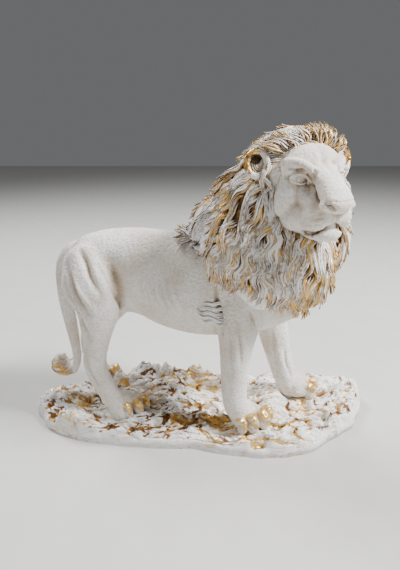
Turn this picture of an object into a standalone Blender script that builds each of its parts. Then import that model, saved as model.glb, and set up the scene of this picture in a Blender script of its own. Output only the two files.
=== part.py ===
"""A lion standing on a rocky base, cast in resin as one solid.

The figure is blocked out from lofted limbs and rounded masses, fused and smoothed as clay would be, combed
with locks of mane, and then cut with the strokes that a modelling tool leaves. The figure's own tables are in
millimetres, with +X ahead of the lion, +Y to its left, and the soles at height 0.
"""

import math
import random

import bpy
import numpy as np
from mathutils import Matrix, Vector, noise
from mathutils.bvhtree import BVHTree

# Driving dimensions, in metres.
BASE_LENGTH = 0.330
BASE_WIDTH = 0.116
SOLE_HEIGHT = 0.014
FIGURE_HEIGHT = 0.259

# The figure's tables are written for this height, and are scaled from it.
TABLE_HEIGHT = 259.0
UNIT = FIGURE_HEIGHT / TABLE_HEIGHT
HEADING = math.radians(-9.0)
STANCE_OFFSET = -0.0005

# How finely the clay is worked, in metres.
CAST_VOXEL = 0.0013
TRIANGLES = 9600
FACE_CARE = 0.02

# Each row is x, y, z, half depth, half width.
TRUNK = [
    (-113, 0, 131, 16, 13), (-110, 0, 130, 27, 20.5), (-103.5, 0, 129.5, 34.9, 26.7),
    (-83.5, 0, 133, 38.5, 27.9), (-63, 0, 136.3, 38.5, 26.8), (-42.4, 0, 134.3, 40.4, 28.3),
    (-21.9, 0, 129.5, 44.2, 31.4), (-1.4, 0, 127.4, 46.3, 33.3), (19.2, 0, 128.5, 46.2, 34),
    (39.7, 0, 132, 45.7, 32.9), (58.2, 0, 137.1, 43.1, 29.8), (72.6, 0, 144.3, 37, 24.6),
    (82.9, 0, 149.5, 26.7, 16.4),
]
NEAR_THIGH = [
    (-97.9, -14.4, 149.5, 20.5, 13.4), (-91.5, -22.6, 131, 26.2, 14.4), (-85.1, -26.7, 109.4, 19.8, 12.8),
    (-87.1, -27.2, 92, 15.4, 10.3), (-89.7, -26.7, 73.5, 11.5, 8.4), (-92.2, -26.7, 59.1, 10.9, 7.8),
    (-90.7, -26.7, 44.7, 10.7, 8), (-84, -26.7, 30.3, 9.7, 8.2), (-76.3, -26.7, 14.9, 9.4, 8.8),
    (-71.2, -26.7, 2.6, 9.8, 9.2),
]
FAR_THIGH = [
    (-101, 12.3, 147.4, 20.5, 13.4), (-93.8, 20.5, 126.9, 27.7, 14.4), (-87.6, 24.6, 104.3, 20.5, 12.8),
    (-93.8, 24.6, 87.8, 14.4, 10.3), (-107.1, 23.6, 72.4, 10.9, 8.6), (-117.4, 22.6, 59.1, 9.9, 7.8),
    (-119.5, 22.1, 44.7, 9.2, 7.6), (-116.4, 21.6, 28.3, 8.6, 8), (-111.2, 21.6, 11.8, 8.8, 8.6),
    (-108.2, 21.6, 0.5, 9.2, 9),
]
NEAR_FORELEG = [
    (29.5, -13.4, 145.4, 22.6, 14.4), (33, -19.5, 122.8, 23.6, 15.6), (35.2, -23.6, 104.3, 19.6, 14),
    (35.2, -25.7, 87.8, 15.4, 12.3), (34.6, -26.7, 71.4, 13.2, 11.3), (34.2, -26.7, 55, 11.9, 10.3),
    (34.4, -26.2, 38.5, 11.2, 9.9), (36, -25.2, 24.2, 10.8, 10), (39.5, -22.5, 12, 9.3, 8.8),
]
FAR_FORELEG = [
    (37.7, 13.3, 143.3, 22.6, 14.4), (47.9, 19.5, 120.7, 22.6, 15.4), (57.2, 23.6, 102.2, 18.5, 13.4),
    (63.3, 25.2, 85.8, 15.4, 11.9), (67.5, 25.7, 70.4, 14, 11.1), (72.1, 25.7, 54, 12.7, 10.3),
    (76.7, 25.7, 38.5, 11.7, 9.9), (81.8, 25.7, 24.2, 11.1, 10.2), (87, 26.2, 13, 10.3, 10),
]
TAIL = [
    (-101, 0, 154, 10.5, 10.5), (-113, 0, 152, 9.2, 9.2), (-122.5, -0.5, 145, 7.2, 7.2),
    (-127.3, -1, 134, 6.1, 6.1),
    (-128.2, -1.5, 121, 5.8, 5.8), (-127.6, -2, 107.6, 6, 6), (-125.2, -2, 88.3, 6.3, 6.2),
    (-123.7, -2, 73.7, 5.6, 5.6), (-122.5, -2, 57.5, 4.8, 4.8), (-122.3, -2, 44.2, 4.2, 4.2),
    (-124.8, -2, 34.5, 4.1, 4.1), (-131.5, -2, 28.2, 4.1, 4.1), (-138.5, -2, 28.5, 4.2, 4.2),
]
TAIL_TUFT = [
    (-128, -2, 30, 4.5, 4.5), (-134, -2.5, 31.5, 7.2, 7), (-139, -3, 34.5, 8.4, 8.2),
    (-140.5, -3, 39, 7.8, 7.4),
    (-138.5, -3, 43.5, 5, 5), (-135.5, -3, 46.5, 2.2, 2.2),
]
# Each paw is its heel, its ball, its heading in degrees, its size, the height of the rock under it and which
# toe is its first.
PAWS = [
    ((38, -24), (46, -17), -38, 1.0, 0, 0),
    ((88, 26), (94, 29), -2, 0.95, 4, 1),
    ((-73, -26), (-68.8, -16.7), -40, 0.9, 0, 1),
    ((-112, 22), (-112, 27), -20, 0.85, 2, 1),
]
# A paw's toes from the outer one in: how far ahead of the ball, how far aside, and how thick.
TOES = [(5.5, -14.5, 0.85), (11, -6.5, 1.0), (14, 5, 1.0), (12, 15, 0.85)]
# A claw along its toe: each row is ahead, aside, up, half depth, half width.
CLAW = [(-4, 0, 15, 2.2, 3), (0, 0, 16, 2.9, 4.1), (4, 0, 13, 2.9, 3.7), (6.8, 0, 8, 1.4, 1.6)]

# The head's own frame: x ahead of the face, y to its left, z up, from the middle between the ears.
HEAD_PLACE = (79.4, -25.4, 232.0)
HEAD_TURN = math.radians(-62.0)
HEAD_NOD = math.radians(-2.0)
HEAD_TILT = math.radians(2.0)

# Each row is x, y, z, then three radii; a row off the middle stands for both sides.
HEAD_BALLS = [
    (-9, 0, -13, 27, 33, 25),
    (3, 0, -5, 17, 24, 17),
    (9, 12, -5, 10, 12, 7),
    (1, 18, -22, 15, 12, 18),
    (7, 12, -35, 16, 12, 12),
    (4, 0, -34, 22, 21, 17),
    (24.5, 9, -35.5, 12, 8.5, 10),
    (18, 0, -44, 14, 13.5, 8.5),
    (26.5, 0, -46.3, 7.8, 11.6, 6.3),
]
BROW = [
    (20.8, 8.5, -6.4, 3.4, 3.4), (18.2, 13, -2.6, 3.6, 3.4), (14.6, 17.5, -0.4, 3.4, 3.4),
    (7, 21.5, 0, 3, 2.6),
]
NOSE_BRIDGE = [
    (4, 0, -9, 16, 14), (14, 0, -12.5, 13.5, 11), (23, 0, -17, 11.2, 10.2), (32, 0, -22.5, 9, 10.6),
    (38.5, 0, -26, 6, 10.8),
]
MUZZLE = [
    (6, 0, -26, 19, 20), (15, 0, -28, 16.5, 17), (23, 0, -31, 12.5, 15), (29, 0, -32.5, 9.5, 13),
]
# Hollows pressed into the large forms, each a line, a width and a depth.
FACE_HOLLOWS = [
    ([(16.5, 19, -10), (20.5, 12.5, -12.5)], 3.8, 2.8),
    ([(6, 28, -10), (10, 28, -20), (16, 22, -33)], 7, 1.0),
    ([(21, 13.5, -14), (27, 12.8, -19), (31, 13.6, -26)], 3, 1.6),
]
# Small forms of the face, added after the large ones are smoothed.
FACE_DETAILS = [
    (13.4, 15.4, -10.2, 4.1, 5.4, 3.7),
    (36.6, 8.6, -26.4, 5.0, 4.0, 3.6),
]
EYELIDS = [
    [(13.0, 21.1, -9.8, 0.7), (15.6, 19.2, -7.9, 1.2), (17.5, 15.5, -7.1, 1.3), (17.8, 11.8, -8.9, 1.1),
     (18.2, 9.7, -11.4, 0.8), (20.8, 8.2, -13.9, 0.5)],
    [(13.0, 21.1, -10.2, 0.6), (15.4, 19.5, -12.2, 0.75), (16.9, 15.8, -13.6, 0.8), (17.4, 12.4, -13.6, 0.75),
     (18.3, 9.8, -12.9, 0.65), (20.8, 8.0, -14.1, 0.5)],
]
# The iris is a fine ring cut into the eyeball: its middle and its radius.
IRIS = (17.4, 15.2, -10.1, 2.5)
# Each stroke is its line, its width, its depth and how far it fades at its ends. Negative depths are raised.
FACE_STROKES = [
    ([(14.3, 21.4, -3.2), (15.8, 18.7, -4.4), (18.8, 15.6, -4.9), (20.8, 12, -6.9),
      (22, 9.2, -9.9)], 1.0, 2.0, 0.4),
    ([(19.3, 12.0, -12.6), (22.0, 10.6, -14.8), (25.0, 10.6, -17.5)], 1.0, 1.2, 0.3),
    ([(22.4, 9.0, -5.5), (24, 9.2, -11.6), (25.2, 9.9, -17.8), (28.4, 10.8, -22.4),
      (31, 11.6, -25)], 1.1, 1.5, 0.3),
    ([(24, 6.8, -5), (26.5, 7.4, -11.6), (28, 8, -17.4), (31, 8.6, -21.6)], 1.3, -0.7, 0.4),
    ([(39.6, 10.2, -25.4), (41.4, 8.2, -26.6), (41.8, 6.2, -28.4)], 1.2, 3.8, 0.2),
    ([(38.0, 12, -23.6), (41.5, 8.6, -23.4), (43.6, 4.3, -23.6), (44, 0, -23.8)], 0.8, 0.6, 0.2),
    ([(38, 11.4, -26.5), (39, 8.6, -29.8), (38.5, 4.5, -32.0), (38.2, 0.3, -33.2)], 0.8, 0.8, 0.2),
    ([(36, 0, -39.3), (33.2, 4.4, -41.8), (29.4, 8.4, -43.5), (24.8, 11.2, -45.2),
      (18.5, 13, -47)], 1.0, 2.8, 0.1),
    ([(25, 11.4, -45.5), (18, 13.4, -47.4)], 1.8, 3.2, 0.1),
    ([(3, 24, 2), (5, 23, -8), (4, 27, -20), (2, 29, -30)], 1.2, 0.5, 0.5),
]
MIDDLE_STROKES = [
    ([(39, 0, -32), (38, 0, -35), (36.5, 0, -38)], 0.7, 1.8, 0.1),
    ([(8, 0, 8), (18, 0, -1), (25, 0, -7)], 2.6, 1.0, 0.5),
]
# The ears: each row is the side, how far out it sits, then its rim's half width and half height.
EARS = [(-1, 37.0, 6.9, 8.3), (1, 33.0, 6.2, 7.6)]
# The band of short hair that comes down in front of each ear.
SIDEBURN = [
    (4.2, 24, -1.5), (2.0, 25.8, 0.8), (2.8, 29.3, 0), (3.6, 32.5, -3.7), (4.4, 34.3, -8.1),
    (4.6, 34.6, -14.2), (4.8, 33.6, -20.7), (5.4, 32.6, -27), (6, 31.6, -33),
]
# The same on both flanks: ribs, flank hollow, haunch and the groove behind the shoulder.
FLANK_STROKES = [
    ([(-42.8, -28.2, 136), (-42.4, -27.4, 123), (-38.5, -26.2, 112)], 2.0, -0.7, 0.7),
    ([(-36.7, -28.7, 137), (-34.9, -29.2, 126), (-30.0, -28.6, 114)], 2.0, -0.85, 0.7),
    ([(-30.2, -29.5, 138), (-28.3, -30.3, 125), (-22.0, -29.5, 112)], 2.0, -0.85, 0.7),
    ([(-23.7, -30.4, 138), (-21.4, -31.3, 126), (-15.0, -30.7, 113)], 2.0, -0.8, 0.7),
    ([(-17.8, -31.3, 136), (-15.4, -32.0, 127), (-10.0, -31.9, 117)], 2.0, -0.6, 0.7),
    ([(-72.9, -24.7, 151), (-67.7, -27.4, 138), (-65.7, -26.4, 123)], 8.0, 2.4, 0.5),
    ([(-80, -30, 149), (-72, -31, 136), (-67.5, -28, 121), (-69, -18, 105)], 2.6, 0.9, 0.5),
    ([(-98, -25, 160), (-90.2, -29.2, 150.2), (-85.7, -33.0, 139.6), (-78, -36, 127)], 3.2, 1.9, 0.6),
    ([(-108, -26, 148), (-102.5, -33, 136), (-97.4, -37.8, 122.3), (-88, -39, 110)], 2.8, 1.7, 0.6),
    ([(-109, -28, 136), (-105.3, -33.2, 122.8), (-101.5, -36.6, 108.6), (-94, -37, 94),
      (-90, -37, 84)], 2.2, 1.6, 0.6),
    ([(-101, -34, 140), (-93, -37.5, 126), (-84, -38, 114)], 2.4, -0.8, 0.6),
    ([(17.2, -33.3, 137), (19.0, -33.7, 125), (21.6, -33.7, 111.2), (23.5, -34.2, 98)], 2.6, 1.9, 0.5),
]
# The legs' own tendons and creases.
LEG_STROKES = [
    ([(45.3, -34.0, 120), (47.9, -33.5, 111.3), (52.3, -29.2, 100.7)], 2.8, 1.3, 0.5),
    ([(36.4, -37.1, 110), (38.4, -37.6, 94.8), (39.8, -37.1, 73)], 1.7, 1.0, 0.6),
    ([(30.1, -37.0, 105), (31.5, -37.5, 85.1), (32.9, -37.2, 58)], 1.7, 0.9, 0.6),
    ([(-94.6, -34.0, 68.2), (-88.4, -34.1, 64.8), (-82.3, -29.7, 58.7)], 1.3, 0.6, 0.6),
    ([(-95.5, -34, 84), (-97, -34, 72), (-97, -33.5, 59.3), (-91.1, -34.5, 44.2),
      (-82, -34, 28)], 1.7, 0.9, 0.6),
    ([(65.2, 14.0, 80.5), (68.3, 15.5, 59.0), (73.5, 16.4, 37.2)], 1.8, 0.9, 0.5),
    ([(78, 15.5, 62), (81, 15.5, 46), (86, 16.5, 32)], 1.8, 0.8, 0.5),
]

# Masses of hair around the head, in the head's frame, then over the neck and chest, in the body's.
RUFF_BALLS = [
    (-10, 9, 11, 10, 10, 8),
    (-22, 0, -14, 18, 41, 33),
    (-13, 0, 5, 15, 30, 16),
    (-12, 30, -32, 15, 12, 26),
    (-8, 27, -58, 17, 13.5, 27),
    (-2, 0, -74, 21, 22, 35),
]
MANE_BALLS = [
    (13, 0, 173, 20, 22, 14), (24, -1, 180, 26, 31, 25), (42, -4, 194, 29, 37, 33),
    (35.6, -22.6, 165.9, 28.8, 26.7, 34.9), (54, -22, 153.6, 29, 27, 38), (39.7, 18.5, 170, 30.8, 26.7, 39),
    (61, 12, 177, 23.5, 24.6, 39),
]

# Which way the hair lies: each row is a place and a direction.
FLOW = np.array([
    (75.7, -26.7, 257.3, -0.8, 0.4, 0.5), (55.1, -14.4, 252.2, -1, 0.3, 0.1),
    (29.5, -4.1, 231.6, -1, 0.1, -0.6), (3.8, 0, 198.8, -1, 0, -0.5), (-9.6, 0, 184.4, -1, 0, -0.3),
    (44.9, -49.3, 231.6, -0.8, 0, -0.6), (29.5, -41.1, 214.2, -0.8, 0, -0.8),
    (14, -35.9, 193.6, -0.8, 0, -0.7), (44.9, -53.4, 203.9, -0.4, 0, -1),
    (34.6, -49.3, 178.2, -0.5, 0, -1), (29.5, -43.1, 152.5, -0.4, 0, -1),
    (60.3, -53.4, 178.2, -0.1, 0, -1), (60.3, -46.2, 147.4, 0.1, 0, -1), (75.7, -51.4, 162.8, 0, 0, -1),
    (75.7, -41.1, 126.9, 0, 0, -1), (101.3, -30.8, 178.2, 0, 0, -1), (101.3, -20.5, 152.5, -0.4, 0, -1),
    (111.6, -10.3, 209, 0.4, 0.3, -1), (101.3, 10.3, 188.5, 0, 0.3, -1),
    (85.9, 30.8, 198.8, -0.3, 0.3, -1), (60.3, 39, 198.8, -0.6, 0.2, -0.9),
    (29.5, 34.9, 188.5, -0.9, 0.1, -0.6), (50, 41.1, 157.7, -0.3, 0, -1), (96.2, 5.1, 245, 0, 0.8, 0.2),
    (70.5, 20.5, 245, -0.7, 0.6, -0.1),
], float)
CURL = 22.0
STRAND_SIDES = 5
# The mane's lower edge over the back and the shoulders, as x and z.
MANE_EDGE = np.array([
    (-26, 186), (-22, 172), (-10, 166), (12, 157), (17, 148), (33, 139), (46, 137), (58, 128), (75, 113),
    (95, 106),
], float)

# Small locks behind each elbow.
ELBOW_LOCKS = [
    [(28.4, -36.3, 106.7), (21.5, -31.7, 103.6), (14.4, -30.2, 106.3), (9.6, -31.4, 105.3),
     (5.6, -31.4, 109.9)],
    [(27.5, -35.9, 110.9), (20.1, -31.7, 107.6), (13.0, -31.8, 110.8), (7.3, -32.2, 110.2),
     (3.6, -32.2, 115.0)],
    [(26.5, -35.2, 115.8), (19.3, -32.3, 112.4), (12.3, -32.3, 115.0), (6.5, -32.3, 114.5),
     (3.0, -32.3, 119.0)],
    [(25.5, -34.6, 120.6), (18.5, -32.9, 117.8), (11.5, -32.9, 119.6), (6.0, -32.4, 119.2)],
    [(23.0, -33.5, 124.4), (16.2, -33.6, 122.5), (11.3, -33.3, 124.2), (7.0, -32.8, 123.4)],
]
# The tail tuft's locks, on its near side.
TUFT_LOCKS = [
    [(-126, -7, 28), (-132, -9, 24.5), (-139, -9, 26.5), (-146, -7, 27.5), (-149, -6, 33)],
    [(-126, -8, 32), (-132, -10, 28.5), (-138, -11, 31.5), (-144, -9, 31.5), (-148, -7, 37)],
    [(-128, -9, 36), (-133, -11, 33.5), (-138, -11, 36.5), (-143, -9, 36), (-146, -7, 42)],
    [(-129, -9, 40), (-134, -11, 38), (-138, -11, 41), (-142, -9, 41), (-144, -7, 46)],
    [(-131, -8, 43.5), (-134, -9, 42), (-138, -8, 45), (-139, -6, 49)],
]

# The outline of the base, as shares of its length and width from the middle.
BASE_OUTLINE = [
    (-0.500, 0.09), (-0.462, -0.06), (-0.430, -0.17), (-0.360, -0.262), (-0.290, -0.315), (-0.185, -0.362),
    (-0.105, -0.380), (-0.02, -0.385), (0.08, -0.450), (0.185, -0.478), (0.280, -0.435), (0.360, -0.302),
    (0.420, -0.182), (0.458, -0.09), (0.500, 0.20), (0.497, 0.33), (0.462, 0.42), (0.36, 0.48), (0.19, 0.47),
    (0.04, 0.47), (-0.05, 0.52), (-0.14, 0.50), (-0.235, 0.46), (-0.355, 0.40), (-0.45, 0.27),
]
# Each row is x, y, radius and rise.
ROCK_BUMPS = [
    (-33, 46, 11, 16), (-60, 45, 9, 9), (-88, 34, 7, 12), (-5, 47, 10, 7), (150, 26, 9, 5), (-150, 14, 9, 4),
    (60, 36, 9, 5), (122, 34, 10, 5), (-135, -4, 8, 4), (20, 40, 8, 5),
]


def curve_through(rows, per_span=5):
    """Rows of numbers read off a smooth Catmull-Rom curve through the given rows."""
    rows = np.asarray(rows, float)
    ends = np.vstack([2 * rows[0] - rows[1], rows, 2 * rows[-1] - rows[-2]])
    out = []
    for i in range(1, len(ends) - 2):
        a, b, c, d = ends[i - 1 : i + 3]
        for t in np.arange(per_span) / per_span:
            bend = (2 * a - 5 * b + 4 * c - d) * t**2 + (3 * b - a - 3 * c + d) * t**3
            out.append(0.5 * (2 * b + (c - a) * t + bend))
    return np.vstack([out, rows[-1]])


def tube(centres, radii, across, sides, square=1.0):
    """Shell of rings along a line. radii holds the depth and the width; across points along the width."""
    tangents = np.gradient(centres, axis=0)
    tangents /= np.linalg.norm(tangents, axis=1, keepdims=True)
    across = np.broadcast_to(np.asarray(across, float), centres.shape)
    width = across - (across * tangents).sum(1, keepdims=True) * tangents
    width /= np.linalg.norm(width, axis=1, keepdims=True)
    depth = np.cross(width, tangents)
    turn = np.linspace(0, 2 * math.pi, sides, endpoint=False)
    deep = np.sign(np.cos(turn)) * np.abs(np.cos(turn)) ** square
    wide = np.sign(np.sin(turn)) * np.abs(np.sin(turn)) ** square
    ring = depth[:, None] * (radii[:, 0:1] * deep)[:, :, None]
    ring = ring + width[:, None] * (radii[:, 1:2] * wide)[:, :, None]
    points = (centres[:, None] + ring).reshape(-1, 3)
    faces = []
    for i in range(len(centres) - 1):
        for j in range(sides):
            k = (j + 1) % sides
            faces.append((i * sides + j, i * sides + k, (i + 1) * sides + k, (i + 1) * sides + j))
    last = (len(centres) - 1) * sides
    faces.append(tuple(range(sides - 1, -1, -1)))
    faces.append(tuple(last + j for j in range(sides)))
    return points, faces


def limb(rows, across=(0, 1, 0), sides=20, square=1.0):
    """A lofted limb with rounded ends. Each row is x, y, z, half depth, half width."""
    rows = curve_through(rows)
    ends = []
    for row, inner in ((rows[0], rows[1]), (rows[-1], rows[-2])):
        along = (row[:3] - inner[:3]) / np.linalg.norm(row[:3] - inner[:3])
        cap = []
        for swing in np.radians((25, 50, 75)):
            place = row[:3] + along * row[3:].min() * math.sin(swing)
            cap.append(np.concatenate([place, row[3:] * math.cos(swing)]))
        ends.append(cap)
    rows = np.vstack([ends[0][::-1], rows, ends[1]])
    return tube(rows[:, :3], rows[:, 3:], across, sides, square)


def ball(centre, radii, turn=None, rings=16, sides=28):
    """An ellipsoid shell. turn is a 3x3 rotation."""
    polar = np.linspace(0, math.pi, rings + 1)[1:-1]
    azimuth = np.linspace(0, 2 * math.pi, sides, endpoint=False)
    level = np.repeat(np.cos(polar), sides)
    reach = np.repeat(np.sin(polar), sides)
    azimuth = np.tile(azimuth, rings - 1)
    points = np.stack([reach * np.cos(azimuth), reach * np.sin(azimuth), level], axis=1)
    points = np.vstack([points, (0, 0, 1), (0, 0, -1)])
    top, bottom = len(points) - 2, len(points) - 1
    faces = []
    for j in range(sides):
        k = (j + 1) % sides
        faces.append((top, j, k))
        faces.append((bottom, (rings - 2) * sides + k, (rings - 2) * sides + j))
        for i in range(rings - 2):
            faces.append((i * sides + j, (i + 1) * sides + j, (i + 1) * sides + k, i * sides + k))
    points = points * np.asarray(radii, float)
    if turn is not None:
        points = points @ np.array(turn).T
    return points + np.asarray(centre, float), faces


def joined(shells):
    """Several shells as one list of points and faces."""
    points, faces, offset = [], [], 0
    for shell_points, shell_faces in shells:
        points.append(shell_points)
        faces += [tuple(offset + i for i in face) for face in shell_faces]
        offset += len(shell_points)
    return np.vstack(points), faces


def moved(shell, matrix):
    points, faces = shell
    matrix = np.array(matrix)
    return points @ matrix[:3, :3].T + matrix[:3, 3], faces


def mesh_of(shell, name):
    mesh = bpy.data.meshes.new(name)
    mesh.from_pydata([tuple(p) for p in shell[0]], [], shell[1])
    return mesh


def shell_of(mesh):
    points = np.empty(len(mesh.vertices) * 3, np.float32)
    mesh.vertices.foreach_get("co", points)
    return points.reshape(-1, 3).astype(float), [tuple(p.vertices) for p in mesh.polygons]


def evaluated_mesh(obj):
    """The object's mesh after its modifiers, with the object itself removed."""
    graph = bpy.context.evaluated_depsgraph_get()
    mesh = bpy.data.meshes.new_from_object(obj.evaluated_get(graph))
    bpy.data.objects.remove(obj)
    return mesh


def fused(shells, voxel, softness=0.0):
    """The shells melted into one closed shell of even quads, then rounded over the softness, a length."""
    obj = bpy.data.objects.new("clay", mesh_of(joined(shells), "clay"))
    bpy.context.scene.collection.objects.link(obj)
    melt = obj.modifiers.new("melt", "REMESH")
    melt.mode = "VOXEL"
    melt.voxel_size = voxel
    if softness:
        smooth = obj.modifiers.new("smooth", "SMOOTH")
        smooth.factor = 0.5
        smooth.iterations = max(1, round(3.2 * (softness / voxel) ** 2))
    mesh = evaluated_mesh(obj)
    shell = shell_of(mesh)
    bpy.data.meshes.remove(mesh)
    return largest_piece(shell)


def largest_piece(shell):
    """The shell without any crumb that touches nothing else."""
    points, faces = shell
    sides = np.array([(face[i - 1], face[i]) for face in faces for i in range(len(face))])
    label = np.arange(len(points))
    while True:
        lower = label.copy()
        least = np.minimum(label[sides[:, 0]], label[sides[:, 1]])
        np.minimum.at(lower, sides[:, 0], least)
        np.minimum.at(lower, sides[:, 1], least)
        lower = lower[lower]
        if (lower == label).all():
            break
        label = lower
    kept = label == np.bincount(label).argmax()
    place = np.cumsum(kept) - 1
    return points[kept], [tuple(int(place[i]) for i in face) for face in faces if kept[face[0]]]


def toes_of(heel, middle, heading, size, floor, first):
    """A paw's toes, each as its place on the rock, the paw's turn and the toe's size."""
    turn = np.array(Matrix.Rotation(math.radians(heading), 3, "Z"))
    for ahead, aside, share in TOES[first:]:
        yield np.array((*middle, floor)) + turn @ np.array((ahead, aside, 0)) * size, turn, size * share


def paw(heel, middle, heading, size, floor, first):
    """A broad paw, from the heel under the leg to the knuckled toes."""
    turn = np.array(Matrix.Rotation(math.radians(heading), 3, "Z"))
    instep = (np.array(heel) + np.array(middle)) / 2
    shells = [
        ball((*instep, floor + 14 * size), np.array((11, 12, 12)) * size, turn),
        ball((*middle, floor + 9 * size), np.array((13, 14.5, 9.5)) * size, turn),
    ]
    for spot, turn, thick in toes_of(heel, middle, heading, size, floor, first):
        for place, radii in (((-4.5, 0, 12), (7.5, 4.9, 7)), ((2.2, 0, 5.6), (5.6, 4.7, 6.6))):
            shells.append(ball(spot + turn @ np.array(place) * thick, np.array(radii) * thick, turn))
    return shells


def claws():
    """The claws, each a blunt wedge that comes out from under the skin of its toe."""
    shells = []
    for row in PAWS:
        for spot, turn, thick in toes_of(*row):
            rows = [(*(spot + turn @ np.array(r[:3]) * thick), r[3] * thick, r[4] * thick) for r in CLAW]
            shells.append(limb(rows, turn[:, 1], 8))
    return shells


def both_sides(rows):
    """The same line of rows on either side of the middle plane."""
    return [[(row[0], side * row[1], *row[2:]) for row in rows] for side in (1, -1)]


def body(voxel):
    """Trunk, legs, paws and tail, blended into each other."""
    shells = [limb(TRUNK, sides=36)]
    shells += [limb(rows, sides=28) for rows in (NEAR_THIGH, FAR_THIGH, NEAR_FORELEG, FAR_FORELEG)]
    shells.append(limb(TAIL, sides=16))
    flesh = fused(shells, voxel, 2.4)
    shells = [flesh, limb(TAIL_TUFT, sides=16)]
    for row in PAWS:
        shells += paw(*row)
    shells += claws()
    strokes = [
        (side, width, depth, taper)
        for line, width, depth, taper in FLANK_STROKES
        for side in both_sides(line)
    ]
    return stroked(fused(shells, voxel, 0.8), strokes + LEG_STROKES)


def mirrored(rows):
    """Rows starting x, y, z, followed by the same rows across the head's middle plane."""
    out = []
    for row in rows:
        out.append(row)
        if row[1]:
            out.append((row[0], -row[1], row[2], *row[3:]))
    return out


def ear(side, out, half_width, half_height):
    """A round ear with a raised rim and a hollow front, on one side of the head."""
    centre = np.array((-3.0, side * out, 0.0))
    turn = Matrix.Rotation(math.radians(side * 22), 3, "Z") @ Matrix.Rotation(math.radians(-10), 3, "Y")
    turn = np.array(turn)
    shells = [ball(centre - turn[:, 0] * 4.1, (3.1, half_width + 1.4, half_height + 1.3), turn)]
    rim = []
    for angle in np.radians(np.arange(0, 361, 15)):
        spot = centre + turn @ np.array((0.2, half_width * math.cos(angle), half_height * math.sin(angle)))
        rim.append((*spot, 2.3, 1.9))
    rows = np.array(rim)
    shells.append(tube(rows[:, :3], rows[:, 3:], turn[:, 0], 10))
    root = centre + turn @ np.array((-6.5, -side * 6.0, -5.0))
    shells.append(ball(root, (6, 9, 9), turn))
    return shells


def head(voxel):
    """The head in its own frame: large forms, then eyes, lids, lips and ears, then the tool strokes."""
    masses = [ball(row[:3], row[3:]) for row in mirrored(HEAD_BALLS)]
    masses += [limb(rows, sides=16) for rows in both_sides(BROW)]
    masses.append(limb(NOSE_BRIDGE, sides=32, square=0.7))
    masses.append(limb(MUZZLE, sides=32, square=0.8))
    hollows = [
        (side, width, depth, 0.2) for line, width, depth in FACE_HOLLOWS for side in both_sides(line)
    ]
    shells = [stroked(fused(masses, voxel, 1.8), hollows)]
    shells += [ball(row[:3], row[3:]) for row in mirrored(FACE_DETAILS)]
    for rows in EYELIDS:
        shells += [limb([(*row, row[3]) for row in side], (1, 0, 0), 10) for side in both_sides(rows)]
    for row in EARS:
        shells += ear(*row)
    x, y, z, radius = IRIS
    around = np.radians(np.arange(0, 361, 30))
    ring = [(x, y + radius * math.cos(a), z + radius * math.sin(a)) for a in around]
    strokes = [
        (side, width, depth, taper)
        for line, width, depth, taper in [*FACE_STROKES, (ring, 0.5, 0.6, 0)]
        for side in both_sides(line)
    ]
    return stroked(fused(shells, voxel, 0.45), strokes + MIDDLE_STROKES)


def head_matrix():
    place = Matrix.Translation(HEAD_PLACE)
    turn = Matrix.Rotation(HEAD_TURN, 4, "Z") @ Matrix.Rotation(HEAD_NOD, 4, "Y")
    return place @ turn @ Matrix.Rotation(HEAD_TILT, 4, "X")


def near_line(points, line):
    """Distance from each point to a polyline, and how far along it the nearest place lies, from 0 to 1."""
    line = np.asarray(line, float)
    best = np.full(len(points), 1e9)
    along = np.zeros(len(points))
    spans = len(line) - 1
    for i in range(spans):
        a, b = line[i], line[i + 1]
        run = b - a
        t = np.clip(((points - a) @ run) / max(run @ run, 1e-9), 0, 1)
        gap = np.linalg.norm(points - (a + t[:, None] * run), axis=1)
        closer = gap < best
        best[closer] = gap[closer]
        along[closer] = (i + t[closer]) / spans
    return best, along


def normals_of(shell):
    """Unit normals at the points of a shell of quads and triangles."""
    points, faces = shell
    total = np.zeros_like(points)
    for count in (3, 4):
        group = np.array([f for f in faces if len(f) == count], int).reshape(-1, count)
        if len(group):
            a, b, c = points[group[:, 0]], points[group[:, 1]], points[group[:, 2]]
            normal = np.cross(b - a, c - a) if count == 3 else np.cross(c - a, points[group[:, 3]] - b)
            for k in range(count):
                np.add.at(total, group[:, k], normal)
    return total / np.maximum(np.linalg.norm(total, axis=1, keepdims=True), 1e-12)


def stroked(shell, strokes):
    """The shell pressed in or raised along strokes, each a line, a width, a depth and a taper."""
    points, faces = shell
    points = points.copy()
    normals = normals_of(shell)
    surface = surface_of(shell)
    for line, width, depth, taper in strokes:
        line = curve_through(line, 4) if len(line) > 2 else np.asarray(line, float)
        line = np.array([surface.find_nearest(Vector(p))[0] for p in line])
        low, high = line.min(0) - width * 3, line.max(0) + width * 3
        close = np.flatnonzero(((points > low) & (points < high)).all(1))
        if not len(close):
            continue
        gap, along = near_line(points[close], line)
        fade = 1 - taper * (1 - np.sin(math.pi * np.clip(along, 0.02, 0.98)))
        push = depth * fade * np.exp(-((gap / width) ** 2))
        points[close] -= normals[close] * push[:, None]
    return points, faces


def surface_of(shell):
    return BVHTree.FromPolygons([Vector(p) for p in shell[0]], shell[1])


def flow_at(point):
    """Which way the hair lies at a place, from hand-set samples."""
    gap = np.linalg.norm(FLOW[:, :3] - point, axis=1)
    weight = 1 / (gap + 4) ** 3
    direction = (FLOW[:, 3:] * weight[:, None]).sum(0)
    return direction / np.linalg.norm(direction)


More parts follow.
